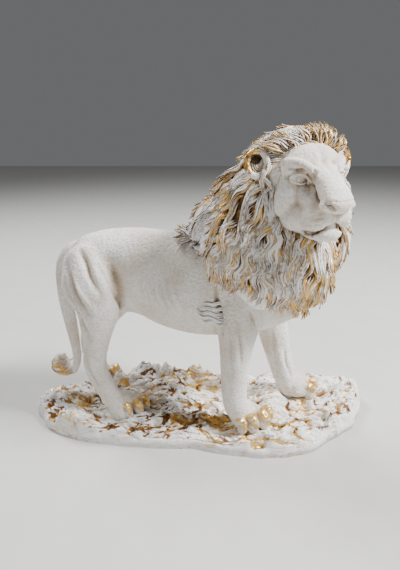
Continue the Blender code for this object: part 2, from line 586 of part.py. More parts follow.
def scattered(shell, spacing, keep, seed):
    """Places spread over the shell at least the spacing apart, where keep allows them."""
    points = shell[0]
    rng = np.random.default_rng(seed)
    chosen = []
    cells = {}
    for i in rng.permutation(len(points)):
        p = points[i]
        if not keep(p):
            continue
        key = tuple(int(c // spacing) for c in p)
        around = [
            q
            for dx in (-1, 0, 1)
            for dy in (-1, 0, 1)
            for dz in (-1, 0, 1)
            for q in cells.get((key[0] + dx, key[1] + dy, key[2] + dz), ())
        ]
        if all((p - q) @ (p - q) > spacing**2 for q in around):
            cells.setdefault(key, []).append(p)
            chosen.append(p)
    return chosen


def traced(surface, start, length, wave, bend, step=2.0):
    """A line combed over the surface with the flow, waving from side to side. Gives places and normals."""
    spot, normal, _, _ = surface.find_nearest(start)
    places, normals = [], []
    count = max(5, int(round(length / step)))
    for i in range(count + 1):
        place, n = np.array(spot), np.array(normal)
        places.append(place)
        normals.append(n)
        flow = flow_at(place)
        ahead = flow - (flow @ n) * n
        ahead /= max(np.linalg.norm(ahead), 1e-6)
        aside = np.cross(n, ahead)
        drift = noise.noise(Vector(place * 0.03)) * 5
        angle = wave * math.sin(2 * math.pi * (place @ flow) / CURL + drift) + bend * i / count
        spot, normal, _, _ = surface.find_nearest(
            Vector(place + (ahead * math.cos(angle) + aside * math.sin(angle)) * step)
        )
    return np.array(places), np.array(normals)


def lock(places, normals, strands, width, height, lift, rng):
    """A pointed lock lying on a traced line, parted into strands that close up towards its tip."""
    tangents = np.gradient(places, axis=0)
    across = np.cross(normals, tangents)
    across /= np.maximum(np.linalg.norm(across, axis=1, keepdims=True), 1e-9)
    shells = []
    for i in range(strands):
        offset = (i - (strands - 1) / 2) * width * 1.6
        count = len(places) - (rng.randint(0, 3) if strands > 1 else 0)
        share = np.linspace(0, 1, count)
        swell = np.clip(np.minimum(share / 0.25, (1 - share) / 0.5), 0.1, 1) ** 0.75
        rise = height * (0.1 + 0.9 * np.sqrt(share)) + lift * np.clip(share - 0.6, 0, 1) ** 1.5 * 4
        rise = rise - abs(offset) * 0.3
        sway = width * 0.5 * (strands > 1) * np.sin(share * rng.uniform(5, 9) + rng.uniform(0, 6))
        spread = offset * (1 - 0.75 * share**1.4) + sway
        centres = places[:count] + normals[:count] * rise[:, None] + across[:count] * spread[:, None]
        radii = np.stack([height * 0.5 * swell + 0.25, width * swell], axis=1)
        shells.append(tube(centres, radii, across[:count], STRAND_SIDES))
    return shells


def mane_core(voxel):
    place = head_matrix()
    shells = [moved(ball(row[:3], row[3:]), place) for row in mirrored(RUFF_BALLS)]
    shells += [ball(row[:3], row[3:]) for row in MANE_BALLS]
    return fused(shells, voxel, 3.0)


def outside(surface, point, slack):
    """Whether a point lies outside a closed surface, or no deeper inside it than the slack."""
    spot, normal, _, gap = surface.find_nearest(Vector(point))
    return gap < slack or (Vector(point) - spot) @ normal > 0


def mane(core, flesh, face, spacing, strands, width, boldness=1.0, seed=5, lift=3.0):
    """Locks over the mane's mass, rooted up to the face and falling over the shoulders."""
    under = surface_of(fused([core, flesh], 2.0, 2.0))
    skin = surface_of(face)
    trunk = surface_of(flesh)
    rng = random.Random(seed)
    shells = []
    roots = scattered(core, spacing, lambda p: outside(skin, p, 3.5) and outside(trunk, p, 2.0), seed)
    for root in roots:
        length = rng.uniform(22, 44)
        places, normals = traced(under, Vector(root), length, rng.uniform(0.35, 0.75), rng.uniform(-0.3, 0.3))
        edge = np.interp(places[:, 0], MANE_EDGE[:, 0], MANE_EDGE[:, 1]) - rng.uniform(-3, 6)
        kept = int((places[:, 2] > edge).sum())
        if kept < 6:
            continue
        places, normals = places[:kept], normals[:kept]
        height = rng.uniform(1.8, 3.0) * boldness
        tip = lift * (rng.uniform(0, 1) + (rng.random() < 0.15))
        shells += lock(places, normals, strands, width * rng.uniform(0.85, 1.15), height, tip, rng)
    return shells


def hairline(core, face, spacing, strands, width, height, seed=7):
    """Short locks that bring the mane's edge forward over the temples and the brow."""
    rng = random.Random(seed)
    mass = surface_of(core)
    surface = surface_of(joined([core, face]))
    inward = head_matrix().inverted()

    def keep(p):
        q = inward @ Vector(p)
        return q.z > -1 and q.x > -8 and abs(q.y) < 30 and mass.find_nearest(Vector(p))[3] < 6.5

    shells = []
    for root in scattered(face, spacing, keep, seed):
        places, normals = traced(surface, Vector(root), rng.uniform(9, 17), 0.7, rng.uniform(-0.5, 0.5), 1.6)
        shells += lock(places, normals, strands, width, height, rng.uniform(0, 1.5), rng)
    return shells


def sideburns(core, face, strands, width, height, seed=9):
    """A band of short locks in front of each ear."""
    rng = random.Random(seed)
    surface = surface_of(joined([core, face]))
    shells = []
    for line in both_sides(SIDEBURN):
        for shift in (-4, -2.4, -0.8, 0.8, 2.4, 4):
            guide = curve_through(line, 4) + (shift * 0.6, shift * 0.3, shift * 0.5)
            spots = [surface.find_nearest(head_matrix() @ Vector(p))[:2] for p in guide]
            places, normals = (np.array([spot[k] for spot in spots]) for k in (0, 1))
            kept = len(places) - rng.randint(0, 7)
            shells += lock(places[:kept], normals[:kept], strands, width, height, 0.3, rng)
    return shells


def small_locks(surface, lines, strands, width, height, seed=11):
    """Short locks along set lines on the surface, on both sides of the body."""
    rng = random.Random(seed)
    shells = []
    for line in lines:
        for side in both_sides(line):
            spots = [surface.find_nearest(Vector(p))[:2] for p in curve_through(side, 4)]
            places, normals = (np.array([spot[k] for spot in spots]) for k in (0, 1))
            shells += lock(places, normals, strands, width, height, 0.3, rng)
    return shells


def forelock(count, size, seed=3):
    """Tufts over the brow, tallest a little to the left of the middle, sweeping back."""
    rng = random.Random(seed)
    place = head_matrix()
    shells = []
    for _ in range(count):
        y = rng.uniform(-20, 25)
        upright = math.exp(-(((y - 9) / 11) ** 2))
        root = Vector((rng.uniform(-10, 4), y, 10 - (y / 20) ** 2 * 4))
        reach = rng.uniform(8, 11) + 12 * upright
        sway = rng.uniform(-3, 3) + (y - 7) * 0.75
        sweep = rng.uniform(6, 11) - 3 * upright
        turn = rng.uniform(0, 6)
        rows = []
        for share in np.linspace(0, 1, 9):
            spot = root + Vector((
                3.0 * math.sin(share * 2.6) - sweep * share**2,
                sway * share + 1.5 * math.sin(share * 6 + turn),
                reach * share * (1 - 0.25 * share),
            ))
            girth = size * max(0.15, min(1, share / 0.15 + 0.3, (1 - share) / 0.6))
            rows.append((*(place @ spot), girth * 0.8, girth * 1.3))
        rows = np.array(rows)
        shells.append(tube(rows[:, :3], rows[:, 3:], (-0.3, -0.8, -0.2), STRAND_SIDES))
    return shells


def base_rim():
    """The base's outline as a smooth closed line through its named points."""
    length, width = BASE_LENGTH / UNIT, BASE_WIDTH / UNIT
    rows = np.array([(x * length, y * width) for x, y in BASE_OUTLINE])
    per_span = 8
    wrapped = curve_through(np.vstack([rows[-2:], rows, rows[:2]]), per_span)
    rim = wrapped[2 * per_span : (2 + len(rows)) * per_span]
    return rim * (1 + 0.02 * np.array([[noise.noise(Vector((x * 0.07, y * 0.07, 3)))] for x, y in rim]))


def rock_height(x, y, inland):
    """Height of the broken rock at a place, inland being how far the rim is."""
    warp = noise.noise(Vector((x * 0.02, y * 0.03, 2.0)))
    swirl = noise.noise(Vector((x * 0.035 + 7, y * 0.05, 5.0)))
    low = noise.noise(Vector((x * 0.022, y * 0.04, 9.0)))
    u = x * 0.045 + warp * 1.1
    v = y * 0.16 + swirl * 1.7
    streaks = 1 - abs(noise.noise(Vector((u, v, 0.5)))) * 2.2
    fine = 1 - abs(noise.noise(Vector((u * 2.1 + 3, v * 2.6, 4.5)))) * 2.4
    jagged = 1 - abs(noise.noise(Vector((x * 0.11, y * 0.16, 3.0)))) * 2.2
    crackle = 1 - abs(noise.noise(Vector((x * 0.16 + swirl * 2, y * 0.34 + warp, 7.0)))) * 2.6
    lumps = noise.noise(Vector((x * 0.05 + swirl, y * 0.08, 1.5)))
    height = low * 8 + lumps * 7 + streaks * 4.5 + fine * 2.2 + crackle * 1.6 + jagged * 1.8 - 3.5
    for bx, by, radius, rise in ROCK_BUMPS:
        gap = math.hypot((x - bx) / 1.7, y - by) / radius
        if gap < 2.4:
            height += rise * math.exp(-gap * gap * 1.2) * (0.55 + 0.3 * streaks + 0.45 * jagged)
    return height * min(1, inland / 7 + 0.35)


def rock_base(spacing):
    """The rocky base as one closed shell: broken top, low smooth rim, flat underside."""
    rim = base_rim()
    steps = np.linalg.norm(np.roll(rim, -1, axis=0) - rim, axis=1)
    travel = np.concatenate([[0], np.cumsum(steps)])
    closed = np.vstack([rim, rim[:1]])
    around = max(48, int(travel[-1] / spacing))
    where = np.linspace(0, travel[-1], around, endpoint=False)
    rim = np.stack([np.interp(where, travel, closed[:, k]) for k in (0, 1)], axis=1)
    middle = np.array((2.0, -4.0))
    rings = max(12, int(150 / spacing))
    sole = SOLE_HEIGHT / UNIT
    cos_h, sin_h = math.cos(HEADING), math.sin(HEADING)
    pads = []
    for row in PAWS:
        spots = [(*row[0], row[3] * 10), (*row[1], row[3] * 13)]
        spots += [(*spot[:2], thick * 7) for spot, _, thick in toes_of(*row)]
        for px, py, reach in spots:
            pads.append((
                px * cos_h - py * sin_h, px * sin_h + py * cos_h + STANCE_OFFSET / UNIT, reach, row[4] + 0.8,
            ))
    reach = np.linalg.norm(rim - middle, axis=1)
    points = []
    for i in range(rings, 0, -1):
        share = (i / rings) ** 0.9
        ring = middle + (rim - middle) * share
        if i == rings:
            for x, y in ring:
                points.append((x, y, 0))
            for x, y in ring:
                points.append((x, y, sole * 0.5 + noise.noise(Vector((x * 0.05, y * 0.05, 1))) * 4))
            continue
        for (x, y), full in zip(ring, reach):
            inland = (1 - share) * full
            height = sole + rock_height(x, y, inland)
            firm, floor = max(
                (math.exp(-(((x - a) ** 2 + (y - b) ** 2) / (r * 1.05) ** 2) ** 2), f) for a, b, r, f in pads
            )
            height = height * (1 - firm) + (sole + floor) * firm
            edge = min(1.0, inland / 3.5)
            height = (sole * 0.6) * (1 - edge) + height * edge
            points.append((x, y, max(height, 5)))
    points.append((*middle, sole + rock_height(*middle, 50)))
    points.append((*middle, 0))
    faces = []
    for i in range(rings):
        for j in range(around):
            k = (j + 1) % around
            faces.append((i * around + j, i * around + k, (i + 1) * around + k, (i + 1) * around + j))
    top, bottom = len(points) - 2, len(points) - 1
    last = rings * around
    for j in range(around):
        k = (j + 1) % around
        faces.append((last + j, last + k, top))
        faces.append((k, j, bottom))
    return np.array(points), faces


def stance():
    """The turn and shift that set the lion on its rocks."""
    place = (0, STANCE_OFFSET / UNIT, SOLE_HEIGHT / UNIT)
    return Matrix.Translation(place) @ Matrix.Rotation(HEADING, 4, "Z")


def sunk(shell, depth):
    return shell[0] - normals_of(shell) * depth, shell[1]


def lion_shells(voxel, spacing, strands, width, boldness, tufts):
    core = mane_core(voxel * 1.2)
    face = moved(head(voxel), head_matrix())
    flesh = body(voxel)
    shells = [flesh, face, sunk(core, 1.3)]
    shells += mane(core, flesh, face, spacing, strands, width, boldness, lift=1.2)
    shells += hairline(core, face, spacing, strands, width * 0.7, 1.1 * boldness)
    shells += sideburns(core, face, strands, width * 0.7, 1.2 * boldness)
    shells += small_locks(surface_of(flesh), ELBOW_LOCKS + TUFT_LOCKS, strands, width * 0.8, 1.1 * boldness)
    return shells + forelock(*tufts)


def white_paint():
    """Matt off-white paint over the resin."""
    material = bpy.data.materials.new("white_paint")
    material.use_nodes = True
    shader = material.node_tree.nodes["Principled BSDF"]
    shader.inputs["Base Color"].default_value = (0.72, 0.69, 0.63, 1)
    shader.inputs["Roughness"].default_value = 0.65
    shader.inputs["Metallic"].default_value = 0.0
    return material


def levelled(shell, depth=1.0):
    """The shell with its underside pressed flat, up to the depth above the ground."""
    points, faces = shell
    points = points.copy()
    points[points[:, 2] < depth, 2] = 0
    return points, faces


def in_triangles(shell):
    """The shell with each quad cut across, along a diagonal that is no edge elsewhere."""
    points, faces = shell
    taken = {frozenset((face[i - 1], face[i])) for face in faces for i in range(len(face))}
    out = []
    for face in faces:
        if len(face) == 4:
            a, b, c, d = face if frozenset(face[::2]) not in taken else face[1:] + face[:1]
            taken.add(frozenset((a, c)))
            out += [(a, b, c), (a, c, d)]
        else:
            out.append(face)
    return points, out


def thinned(shell, triangles, name):
    """The shell as an object of about the given number of triangles, keeping more of them in the face."""
    obj = bpy.data.objects.new(name, mesh_of(shell, name))
    bpy.context.scene.collection.objects.link(obj)
    group = obj.vertex_groups.new(name="face")
    local = moved(shell, (stance() @ head_matrix()).inverted())[0]
    near = (local[:, 0] > 4) & (np.abs(local[:, 1]) < 30) & (local[:, 2] > -52) & (local[:, 2] < 12)
    group.add([int(i) for i in np.flatnonzero(near)], 0.9, "REPLACE")
    thin = obj.modifiers.new("thin", "DECIMATE")
    thin.ratio = triangles / (2 * len(shell[1]))
    thin.vertex_group = "face"
    thin.invert_vertex_group = True
    thin.vertex_group_factor = FACE_CARE
    mesh = mesh_of(in_triangles(shell_of(evaluated_mesh(obj))), name)
    mesh.transform(Matrix.Scale(UNIT, 4))
    mesh.materials.append(white_paint())
    mesh.shade_smooth()
    obj = bpy.data.objects.new(name, mesh)
    bpy.context.scene.collection.objects.link(obj)
    return obj


def main():
    for obj in list(bpy.data.objects):
        bpy.data.objects.remove(obj)
    shells = lion_shells(1.2, 8.5, 1, 2.7, 1.5, (22, 2.2))
    cast = fused([moved(shell, stance()) for shell in shells] + [rock_base(2.2)], CAST_VOXEL / UNIT, 0.6)
    thinned(levelled(cast), TRIANGLES, "lion_figurine")


if __name__ == "__main__":
    main()
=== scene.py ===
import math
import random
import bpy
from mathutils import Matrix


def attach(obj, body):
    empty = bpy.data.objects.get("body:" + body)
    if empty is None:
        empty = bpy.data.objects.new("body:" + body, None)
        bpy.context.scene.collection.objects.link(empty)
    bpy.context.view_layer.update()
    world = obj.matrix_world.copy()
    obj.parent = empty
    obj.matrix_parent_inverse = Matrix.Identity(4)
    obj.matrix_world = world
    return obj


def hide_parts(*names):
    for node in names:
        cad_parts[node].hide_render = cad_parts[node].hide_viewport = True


bl_info = {
    "name": "Lion figurine",
    "version": (1, 0, 0),
    "blender": (4, 5, 0),
    "location": "View3D > Sidebar > Lion",
    "description": "Sculpts and paints a cast lion standing on a rocky base",
    "category": "Add Mesh",
}

from functools import lru_cache

import bmesh
import bpy
import numpy as np
from mathutils import Matrix, Vector, noise
from mathutils.bvhtree import BVHTree

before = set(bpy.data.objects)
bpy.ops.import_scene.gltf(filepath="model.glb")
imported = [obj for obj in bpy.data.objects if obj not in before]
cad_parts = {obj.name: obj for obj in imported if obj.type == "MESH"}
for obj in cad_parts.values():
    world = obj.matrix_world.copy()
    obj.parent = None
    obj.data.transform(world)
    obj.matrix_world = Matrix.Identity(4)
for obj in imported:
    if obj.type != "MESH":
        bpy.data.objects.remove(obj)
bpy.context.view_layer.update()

# The casting's main sizes, in metres.
BASE_LENGTH = 0.330
BASE_WIDTH = 0.116
SOLE_HEIGHT = 0.014
FIGURE_HEIGHT = 0.259

# The figure's tables are written for this height, and are scaled from it.
TABLE_HEIGHT = 259.0
UNIT = FIGURE_HEIGHT / TABLE_HEIGHT
HEADING = math.radians(-9.0)
STANCE_OFFSET = -0.0005

# Each row is x, y, z, half depth, half width.
TRUNK = [
    (-113, 0, 131, 16, 13), (-110, 0, 130, 27, 20.5), (-103.5, 0, 129.5, 34.9, 26.7),
    (-83.5, 0, 133, 38.5, 27.9), (-63, 0, 136.3, 38.5, 26.8), (-42.4, 0, 134.3, 40.4, 28.3),
    (-21.9, 0, 129.5, 44.2, 31.4), (-1.4, 0, 127.4, 46.3, 33.3), (19.2, 0, 128.5, 46.2, 34),
    (39.7, 0, 132, 45.7, 32.9), (58.2, 0, 137.1, 43.1, 29.8), (72.6, 0, 144.3, 37, 24.6),
    (82.9, 0, 149.5, 26.7, 16.4),
]
NEAR_THIGH = [
    (-97.9, -14.4, 149.5, 20.5, 13.4), (-91.5, -22.6, 131, 26.2, 14.4), (-85.1, -26.7, 109.4, 19.8, 12.8),
    (-87.1, -27.2, 92, 15.4, 10.3), (-89.7, -26.7, 73.5, 11.5, 8.4), (-92.2, -26.7, 59.1, 10.9, 7.8),
    (-90.7, -26.7, 44.7, 10.7, 8), (-84, -26.7, 30.3, 9.7, 8.2), (-76.3, -26.7, 14.9, 9.4, 8.8),
    (-71.2, -26.7, 2.6, 9.8, 9.2),
]
FAR_THIGH = [
    (-101, 12.3, 147.4, 20.5, 13.4), (-93.8, 20.5, 126.9, 27.7, 14.4), (-87.6, 24.6, 104.3, 20.5, 12.8),
    (-93.8, 24.6, 87.8, 14.4, 10.3), (-107.1, 23.6, 72.4, 10.9, 8.6), (-117.4, 22.6, 59.1, 9.9, 7.8),
    (-119.5, 22.1, 44.7, 9.2, 7.6), (-116.4, 21.6, 28.3, 8.6, 8), (-111.2, 21.6, 11.8, 8.8, 8.6),
    (-108.2, 21.6, 0.5, 9.2, 9),
]
NEAR_FORELEG = [
    (29.5, -13.4, 145.4, 22.6, 14.4), (33, -19.5, 122.8, 23.6, 15.6), (35.2, -23.6, 104.3, 19.6, 14),
    (35.2, -25.7, 87.8, 15.4, 12.3), (34.6, -26.7, 71.4, 13.2, 11.3), (34.2, -26.7, 55, 11.9, 10.3),
    (34.4, -26.2, 38.5, 11.2, 9.9), (36, -25.2, 24.2, 10.8, 10), (39.5, -22.5, 12, 9.3, 8.8),
]
FAR_FORELEG = [
    (37.7, 13.3, 143.3, 22.6, 14.4), (47.9, 19.5, 120.7, 22.6, 15.4), (57.2, 23.6, 102.2, 18.5, 13.4),
    (63.3, 25.2, 85.8, 15.4, 11.9), (67.5, 25.7, 70.4, 14, 11.1), (72.1, 25.7, 54, 12.7, 10.3),
    (76.7, 25.7, 38.5, 11.7, 9.9), (81.8, 25.7, 24.2, 11.1, 10.2), (87, 26.2, 13, 10.3, 10),
]
TAIL = [
    (-101, 0, 154, 10.5, 10.5), (-113, 0, 152, 9.2, 9.2), (-122.5, -0.5, 145, 7.2, 7.2),
    (-127.3, -1, 134, 6.1, 6.1),
    (-128.2, -1.5, 121, 5.8, 5.8), (-127.6, -2, 107.6, 6, 6), (-125.2, -2, 88.3, 6.3, 6.2),
    (-123.7, -2, 73.7, 5.6, 5.6), (-122.5, -2, 57.5, 4.8, 4.8), (-122.3, -2, 44.2, 4.2, 4.2),
    (-124.8, -2, 34.5, 4.1, 4.1), (-131.5, -2, 28.2, 4.1, 4.1), (-138.5, -2, 28.5, 4.2, 4.2),
]
TAIL_TUFT = [
    (-128, -2, 30, 4.5, 4.5), (-134, -2.5, 31.5, 7.2, 7), (-139, -3, 34.5, 8.4, 8.2),
    (-140.5, -3, 39, 7.8, 7.4),
    (-138.5, -3, 43.5, 5, 5), (-135.5, -3, 46.5, 2.2, 2.2),
]
# Each paw is its heel, its ball, its heading in degrees, its size, the height of the rock under it and which
# toe is its first.
PAWS = [
    ((38, -24), (46, -17), -38, 1.0, 0, 0),
    ((88, 26), (94, 29), -2, 0.95, 4, 1),
    ((-73, -26), (-68.8, -16.7), -40, 0.9, 0, 1),
    ((-112, 22), (-112, 27), -20, 0.85, 2, 1),
]
# A paw's toes from the outer one in: how far ahead of the ball, how far aside, and how thick.
TOES = [(5.5, -14.5, 0.85), (11, -6.5, 1.0), (14, 5, 1.0), (12, 15, 0.85)]
# A claw along its toe: each row is ahead, aside, up, half depth, half width.
CLAW = [(-4, 0, 15, 2.2, 3), (0, 0, 16, 2.9, 4.1), (4, 0, 13, 2.9, 3.7), (6.8, 0, 8, 1.4, 1.6)]

# The head's own frame: x ahead of the face, y to its left, z up, from the middle between the ears.
HEAD_PLACE = (79.4, -25.4, 232.0)
HEAD_TURN = math.radians(-62.0)
HEAD_NOD = math.radians(-2.0)
HEAD_TILT = math.radians(2.0)

# Each row is x, y, z, then three radii; a row off the middle stands for both sides.
HEAD_BALLS = [
    (-9, 0, -13, 27, 33, 25),
    (3, 0, -5, 17, 24, 17),
    (9, 12, -5, 10, 12, 7),
    (1, 18, -22, 15, 12, 18),
    (7, 12, -35, 16, 12, 12),
    (4, 0, -34, 22, 21, 17),
    (24.5, 9, -35.5, 12, 8.5, 10),
    (18, 0, -44, 14, 13.5, 8.5),
    (26.5, 0, -46.3, 7.8, 11.6, 6.3),
]
BROW = [
    (20.8, 8.5, -6.4, 3.4, 3.4), (18.2, 13, -2.6, 3.6, 3.4), (14.6, 17.5, -0.4, 3.4, 3.4),
    (7, 21.5, 0, 3, 2.6),
]
NOSE_BRIDGE = [
    (4, 0, -9, 16, 14), (14, 0, -12.5, 13.5, 11), (23, 0, -17, 11.2, 10.2), (32, 0, -22.5, 9, 10.6),
    (38.5, 0, -26, 6, 10.8),
]
MUZZLE = [
    (6, 0, -26, 19, 20), (15, 0, -28, 16.5, 17), (23, 0, -31, 12.5, 15), (29, 0, -32.5, 9.5, 13),
]
# Each stroke is its line, its width, its depth and how far it fades at its ends. Negative depths are raised.
# The first are the broad hollows pressed into the large forms of the face.
FACE_HOLLOWS = [
    ([(16.5, 19, -10), (20.5, 12.5, -12.5)], 3.8, 2.8, 0.2),
    ([(6, 28, -10), (10, 28, -20), (16, 22, -33)], 7, 1.0, 0.2),
    ([(21, 13.5, -14), (27, 12.8, -19), (31, 13.6, -26)], 3, 1.6, 0.2),
]
# Small forms of the face, added after the large ones are smoothed.
FACE_DETAILS = [
    (13.4, 15.4, -10.2, 4.1, 5.4, 3.7),
    (36.6, 8.6, -26.4, 5.0, 4.0, 3.6),
]
EYELIDS = [
    [(13.0, 21.1, -9.8, 0.7), (15.6, 19.2, -7.9, 1.2), (17.5, 15.5, -7.1, 1.3), (17.8, 11.8, -8.9, 1.1),
     (18.2, 9.7, -11.4, 0.8), (20.8, 8.2, -13.9, 0.5)],
    [(13.0, 21.1, -10.2, 0.6), (15.4, 19.5, -12.2, 0.75), (16.9, 15.8, -13.6, 0.8), (17.4, 12.4, -13.6, 0.75),
     (18.3, 9.8, -12.9, 0.65), (20.8, 8.0, -14.1, 0.5)],
]
# The iris is a fine ring cut into the eyeball: its middle and its radius.
IRIS = (17.4, 15.2, -10.1, 2.5)
# The folds round the brow, eyes, nose and mouth.
FACE_STROKES = [
    ([(14.3, 21.4, -3.2), (15.8, 18.7, -4.4), (18.8, 15.6, -4.9), (20.8, 12, -6.9),
      (22, 9.2, -9.9)], 1.0, 2.0, 0.4),
    ([(19.3, 12.0, -12.6), (22.0, 10.6, -14.8), (25.0, 10.6, -17.5)], 1.0, 1.2, 0.3),
    ([(22.4, 9.0, -5.5), (24, 9.2, -11.6), (25.2, 9.9, -17.8), (28.4, 10.8, -22.4),
      (31, 11.6, -25)], 1.1, 1.5, 0.3),
    ([(24, 6.8, -5), (26.5, 7.4, -11.6), (28, 8, -17.4), (31, 8.6, -21.6)], 1.3, -0.7, 0.4),
    ([(39.6, 10.2, -25.4), (41.4, 8.2, -26.6), (41.8, 6.2, -28.4)], 1.2, 3.8, 0.2),
    ([(38.0, 12, -23.6), (41.5, 8.6, -23.4), (43.6, 4.3, -23.6), (44, 0, -23.8)], 0.8, 0.6, 0.2),
    ([(38, 11.4, -26.5), (39, 8.6, -29.8), (38.5, 4.5, -32.0), (38.2, 0.3, -33.2)], 0.8, 0.8, 0.2),
    ([(36, 0, -39.3), (33.2, 4.4, -41.8), (29.4, 8.4, -43.5), (24.8, 11.2, -45.2),
      (18.5, 13, -47)], 1.0, 2.8, 0.1),
    ([(25, 11.4, -45.5), (18, 13.4, -47.4)], 1.8, 3.2, 0.1),
    ([(3, 24, 2), (5, 23, -8), (4, 27, -20), (2, 29, -30)], 1.2, 0.5, 0.5),
]
# The lip's parting and the furrow of the brow, on the middle plane.
MIDDLE_STROKES = [
    ([(39, 0, -32), (38, 0, -35), (36.5, 0, -38)], 0.7, 1.8, 0.1),
    ([(8, 0, 8), (18, 0, -1), (25, 0, -7)], 2.6, 1.0, 0.5),
]
# The ears: each row is the side, how far out it sits, then its rim's half width and half height.
EARS = [(-1, 37.0, 6.9, 8.3), (1, 33.0, 6.2, 7.6)]
# The band of short hair that comes down in front of each ear.
SIDEBURN = [
    (2.8, 29.3, 0), (3.6, 32.5, -3.7), (4.4, 34.3, -8.1),
    (4.6, 34.6, -14.2), (4.8, 33.6, -20.7), (5.4, 32.6, -27), (6, 31.6, -33),
]
# The ribs, the same on both flanks.
RIBS = [
    ([(-42.8, -28.2, 136), (-42.4, -27.4, 123), (-38.5, -26.2, 112)], 2.0, -0.7, 0.7),
    ([(-36.7, -28.7, 137), (-34.9, -29.2, 126), (-30.0, -28.6, 114)], 2.0, -0.85, 0.7),
    ([(-30.2, -29.5, 138), (-28.3, -30.3, 125), (-22.0, -29.5, 112)], 2.0, -0.85, 0.7),
    ([(-23.7, -30.4, 138), (-21.4, -31.3, 126), (-15.0, -30.7, 113)], 2.0, -0.8, 0.7),
    ([(-17.8, -31.3, 136), (-15.4, -32.0, 127), (-10.0, -31.9, 117)], 2.0, -0.6, 0.7),
]
# The same on both flanks: the flank's hollow and fold, the haunch and the groove behind the shoulder.
FLANK_STROKES = [
    ([(-72.9, -24.7, 151), (-67.7, -27.4, 138), (-65.7, -26.4, 123)], 8.0, 2.4, 0.5),
    ([(-80, -30, 149), (-72, -31, 136), (-67.5, -28, 121), (-69, -18, 105)], 2.6, 0.9, 0.5),
    ([(-98, -25, 160), (-90.2, -29.2, 150.2), (-85.7, -33.0, 139.6), (-78, -36, 127)], 3.2, 1.9, 0.6),
    ([(-108, -26, 148), (-102.5, -33, 136), (-97.4, -37.8, 122.3), (-88, -39, 110)], 2.8, 1.7, 0.6),
    ([(-109, -28, 136), (-105.3, -33.2, 122.8), (-101.5, -36.6, 108.6), (-94, -37, 94),
      (-90, -37, 84)], 2.2, 1.6, 0.6),
    ([(-101, -34, 140), (-93, -37.5, 126), (-84, -38, 114)], 2.4, -0.8, 0.6),
    ([(17.2, -33.3, 137), (19.0, -33.7, 125), (21.6, -33.7, 111.2), (23.5, -34.2, 98)], 2.6, 1.9, 0.5),
]
# The legs' own tendons and creases.
LEG_STROKES = [
    ([(45.3, -34.0, 120), (47.9, -33.5, 111.3), (52.3, -29.2, 100.7)], 2.8, 1.3, 0.5),
    ([(36.4, -37.1, 110), (38.4, -37.6, 94.8), (39.8, -37.1, 73)], 1.7, 1.0, 0.6),
    ([(30.1, -37.0, 105), (31.5, -37.5, 85.1), (32.9, -37.2, 58)], 1.7, 0.9, 0.6),
    ([(-94.6, -34.0, 68.2), (-88.4, -34.1, 64.8), (-82.3, -29.7, 58.7)], 1.3, 0.6, 0.6),
    ([(-95.5, -34, 84), (-97, -34, 72), (-97, -33.5, 59.3), (-91.1, -34.5, 44.2),
      (-82, -34, 28)], 1.7, 0.9, 0.6),
    ([(65.2, 14.0, 80.5), (68.3, 15.5, 59.0), (73.5, 16.4, 37.2)], 1.8, 0.9, 0.5),
    ([(78, 15.5, 62), (81, 15.5, 46), (86, 16.5, 32)], 1.8, 0.8, 0.5),
]

# Masses of hair around the head, in the head's frame, then over the neck and chest, in the body's.
RUFF_BALLS = [
    (-10, 9, 11, 10, 10, 8),
    (-22, 0, -14, 18, 41, 33),
    (-13, 0, 5, 15, 30, 16),
    (-12, 30, -32, 15, 12, 26),
    (-8, 27, -58, 17, 13.5, 27),
    (-2, 0, -74, 21, 22, 35),
]
MANE_BALLS = [
    (13, 0, 173, 20, 22, 14), (24, -1, 180, 26, 31, 25), (42, -4, 194, 29, 37, 33),
    (35.6, -22.6, 165.9, 28.8, 26.7, 34.9), (54, -22, 153.6, 29, 27, 38), (39.7, 18.5, 170, 30.8, 26.7, 39),
    (61, 12, 177, 23.5, 24.6, 39),
]

# Which way the hair lies: each row is a place and a direction.
FLOW = np.array([
    (75.7, -26.7, 257.3, -0.8, 0.4, 0.5), (55.1, -14.4, 252.2, -1, 0.3, 0.1),
    (29.5, -4.1, 231.6, -1, 0.1, -0.6), (3.8, 0, 198.8, -1, 0, -0.5), (-9.6, 0, 184.4, -1, 0, -0.3),
    (44.9, -49.3, 231.6, -0.8, 0, -0.6), (29.5, -41.1, 214.2, -0.8, 0, -0.8),
    (14, -35.9, 193.6, -0.8, 0, -0.7), (44.9, -53.4, 203.9, -0.4, 0, -1),
    (34.6, -49.3, 178.2, -0.5, 0, -1), (29.5, -43.1, 152.5, -0.4, 0, -1),
    (60.3, -53.4, 178.2, -0.1, 0, -1), (60.3, -46.2, 147.4, 0.1, 0, -1), (75.7, -51.4, 162.8, 0, 0, -1),
    (75.7, -41.1, 126.9, 0, 0, -1), (101.3, -30.8, 178.2, 0, 0, -1), (101.3, -20.5, 152.5, -0.4, 0, -1),
    (111.6, -10.3, 209, 0.4, 0.3, -1), (101.3, 10.3, 188.5, 0, 0.3, -1),
    (85.9, 30.8, 198.8, -0.3, 0.3, -1), (60.3, 39, 198.8, -0.6, 0.2, -0.9),
    (29.5, 34.9, 188.5, -0.9, 0.1, -0.6), (50, 41.1, 157.7, -0.3, 0, -1), (96.2, 5.1, 245, 0, 0.8, 0.2),
    (70.5, 20.5, 245, -0.7, 0.6, -0.1),
], float)
CURL = 22.0
STRAND_SIDES = 5
# The mane's lower edge over the back and the shoulders, as x and z.
MANE_EDGE = np.array([
    (-26, 186), (-22, 172), (-10, 166), (12, 157), (17, 148), (33, 139), (46, 137), (58, 128), (75, 113),
    (95, 106),
], float)

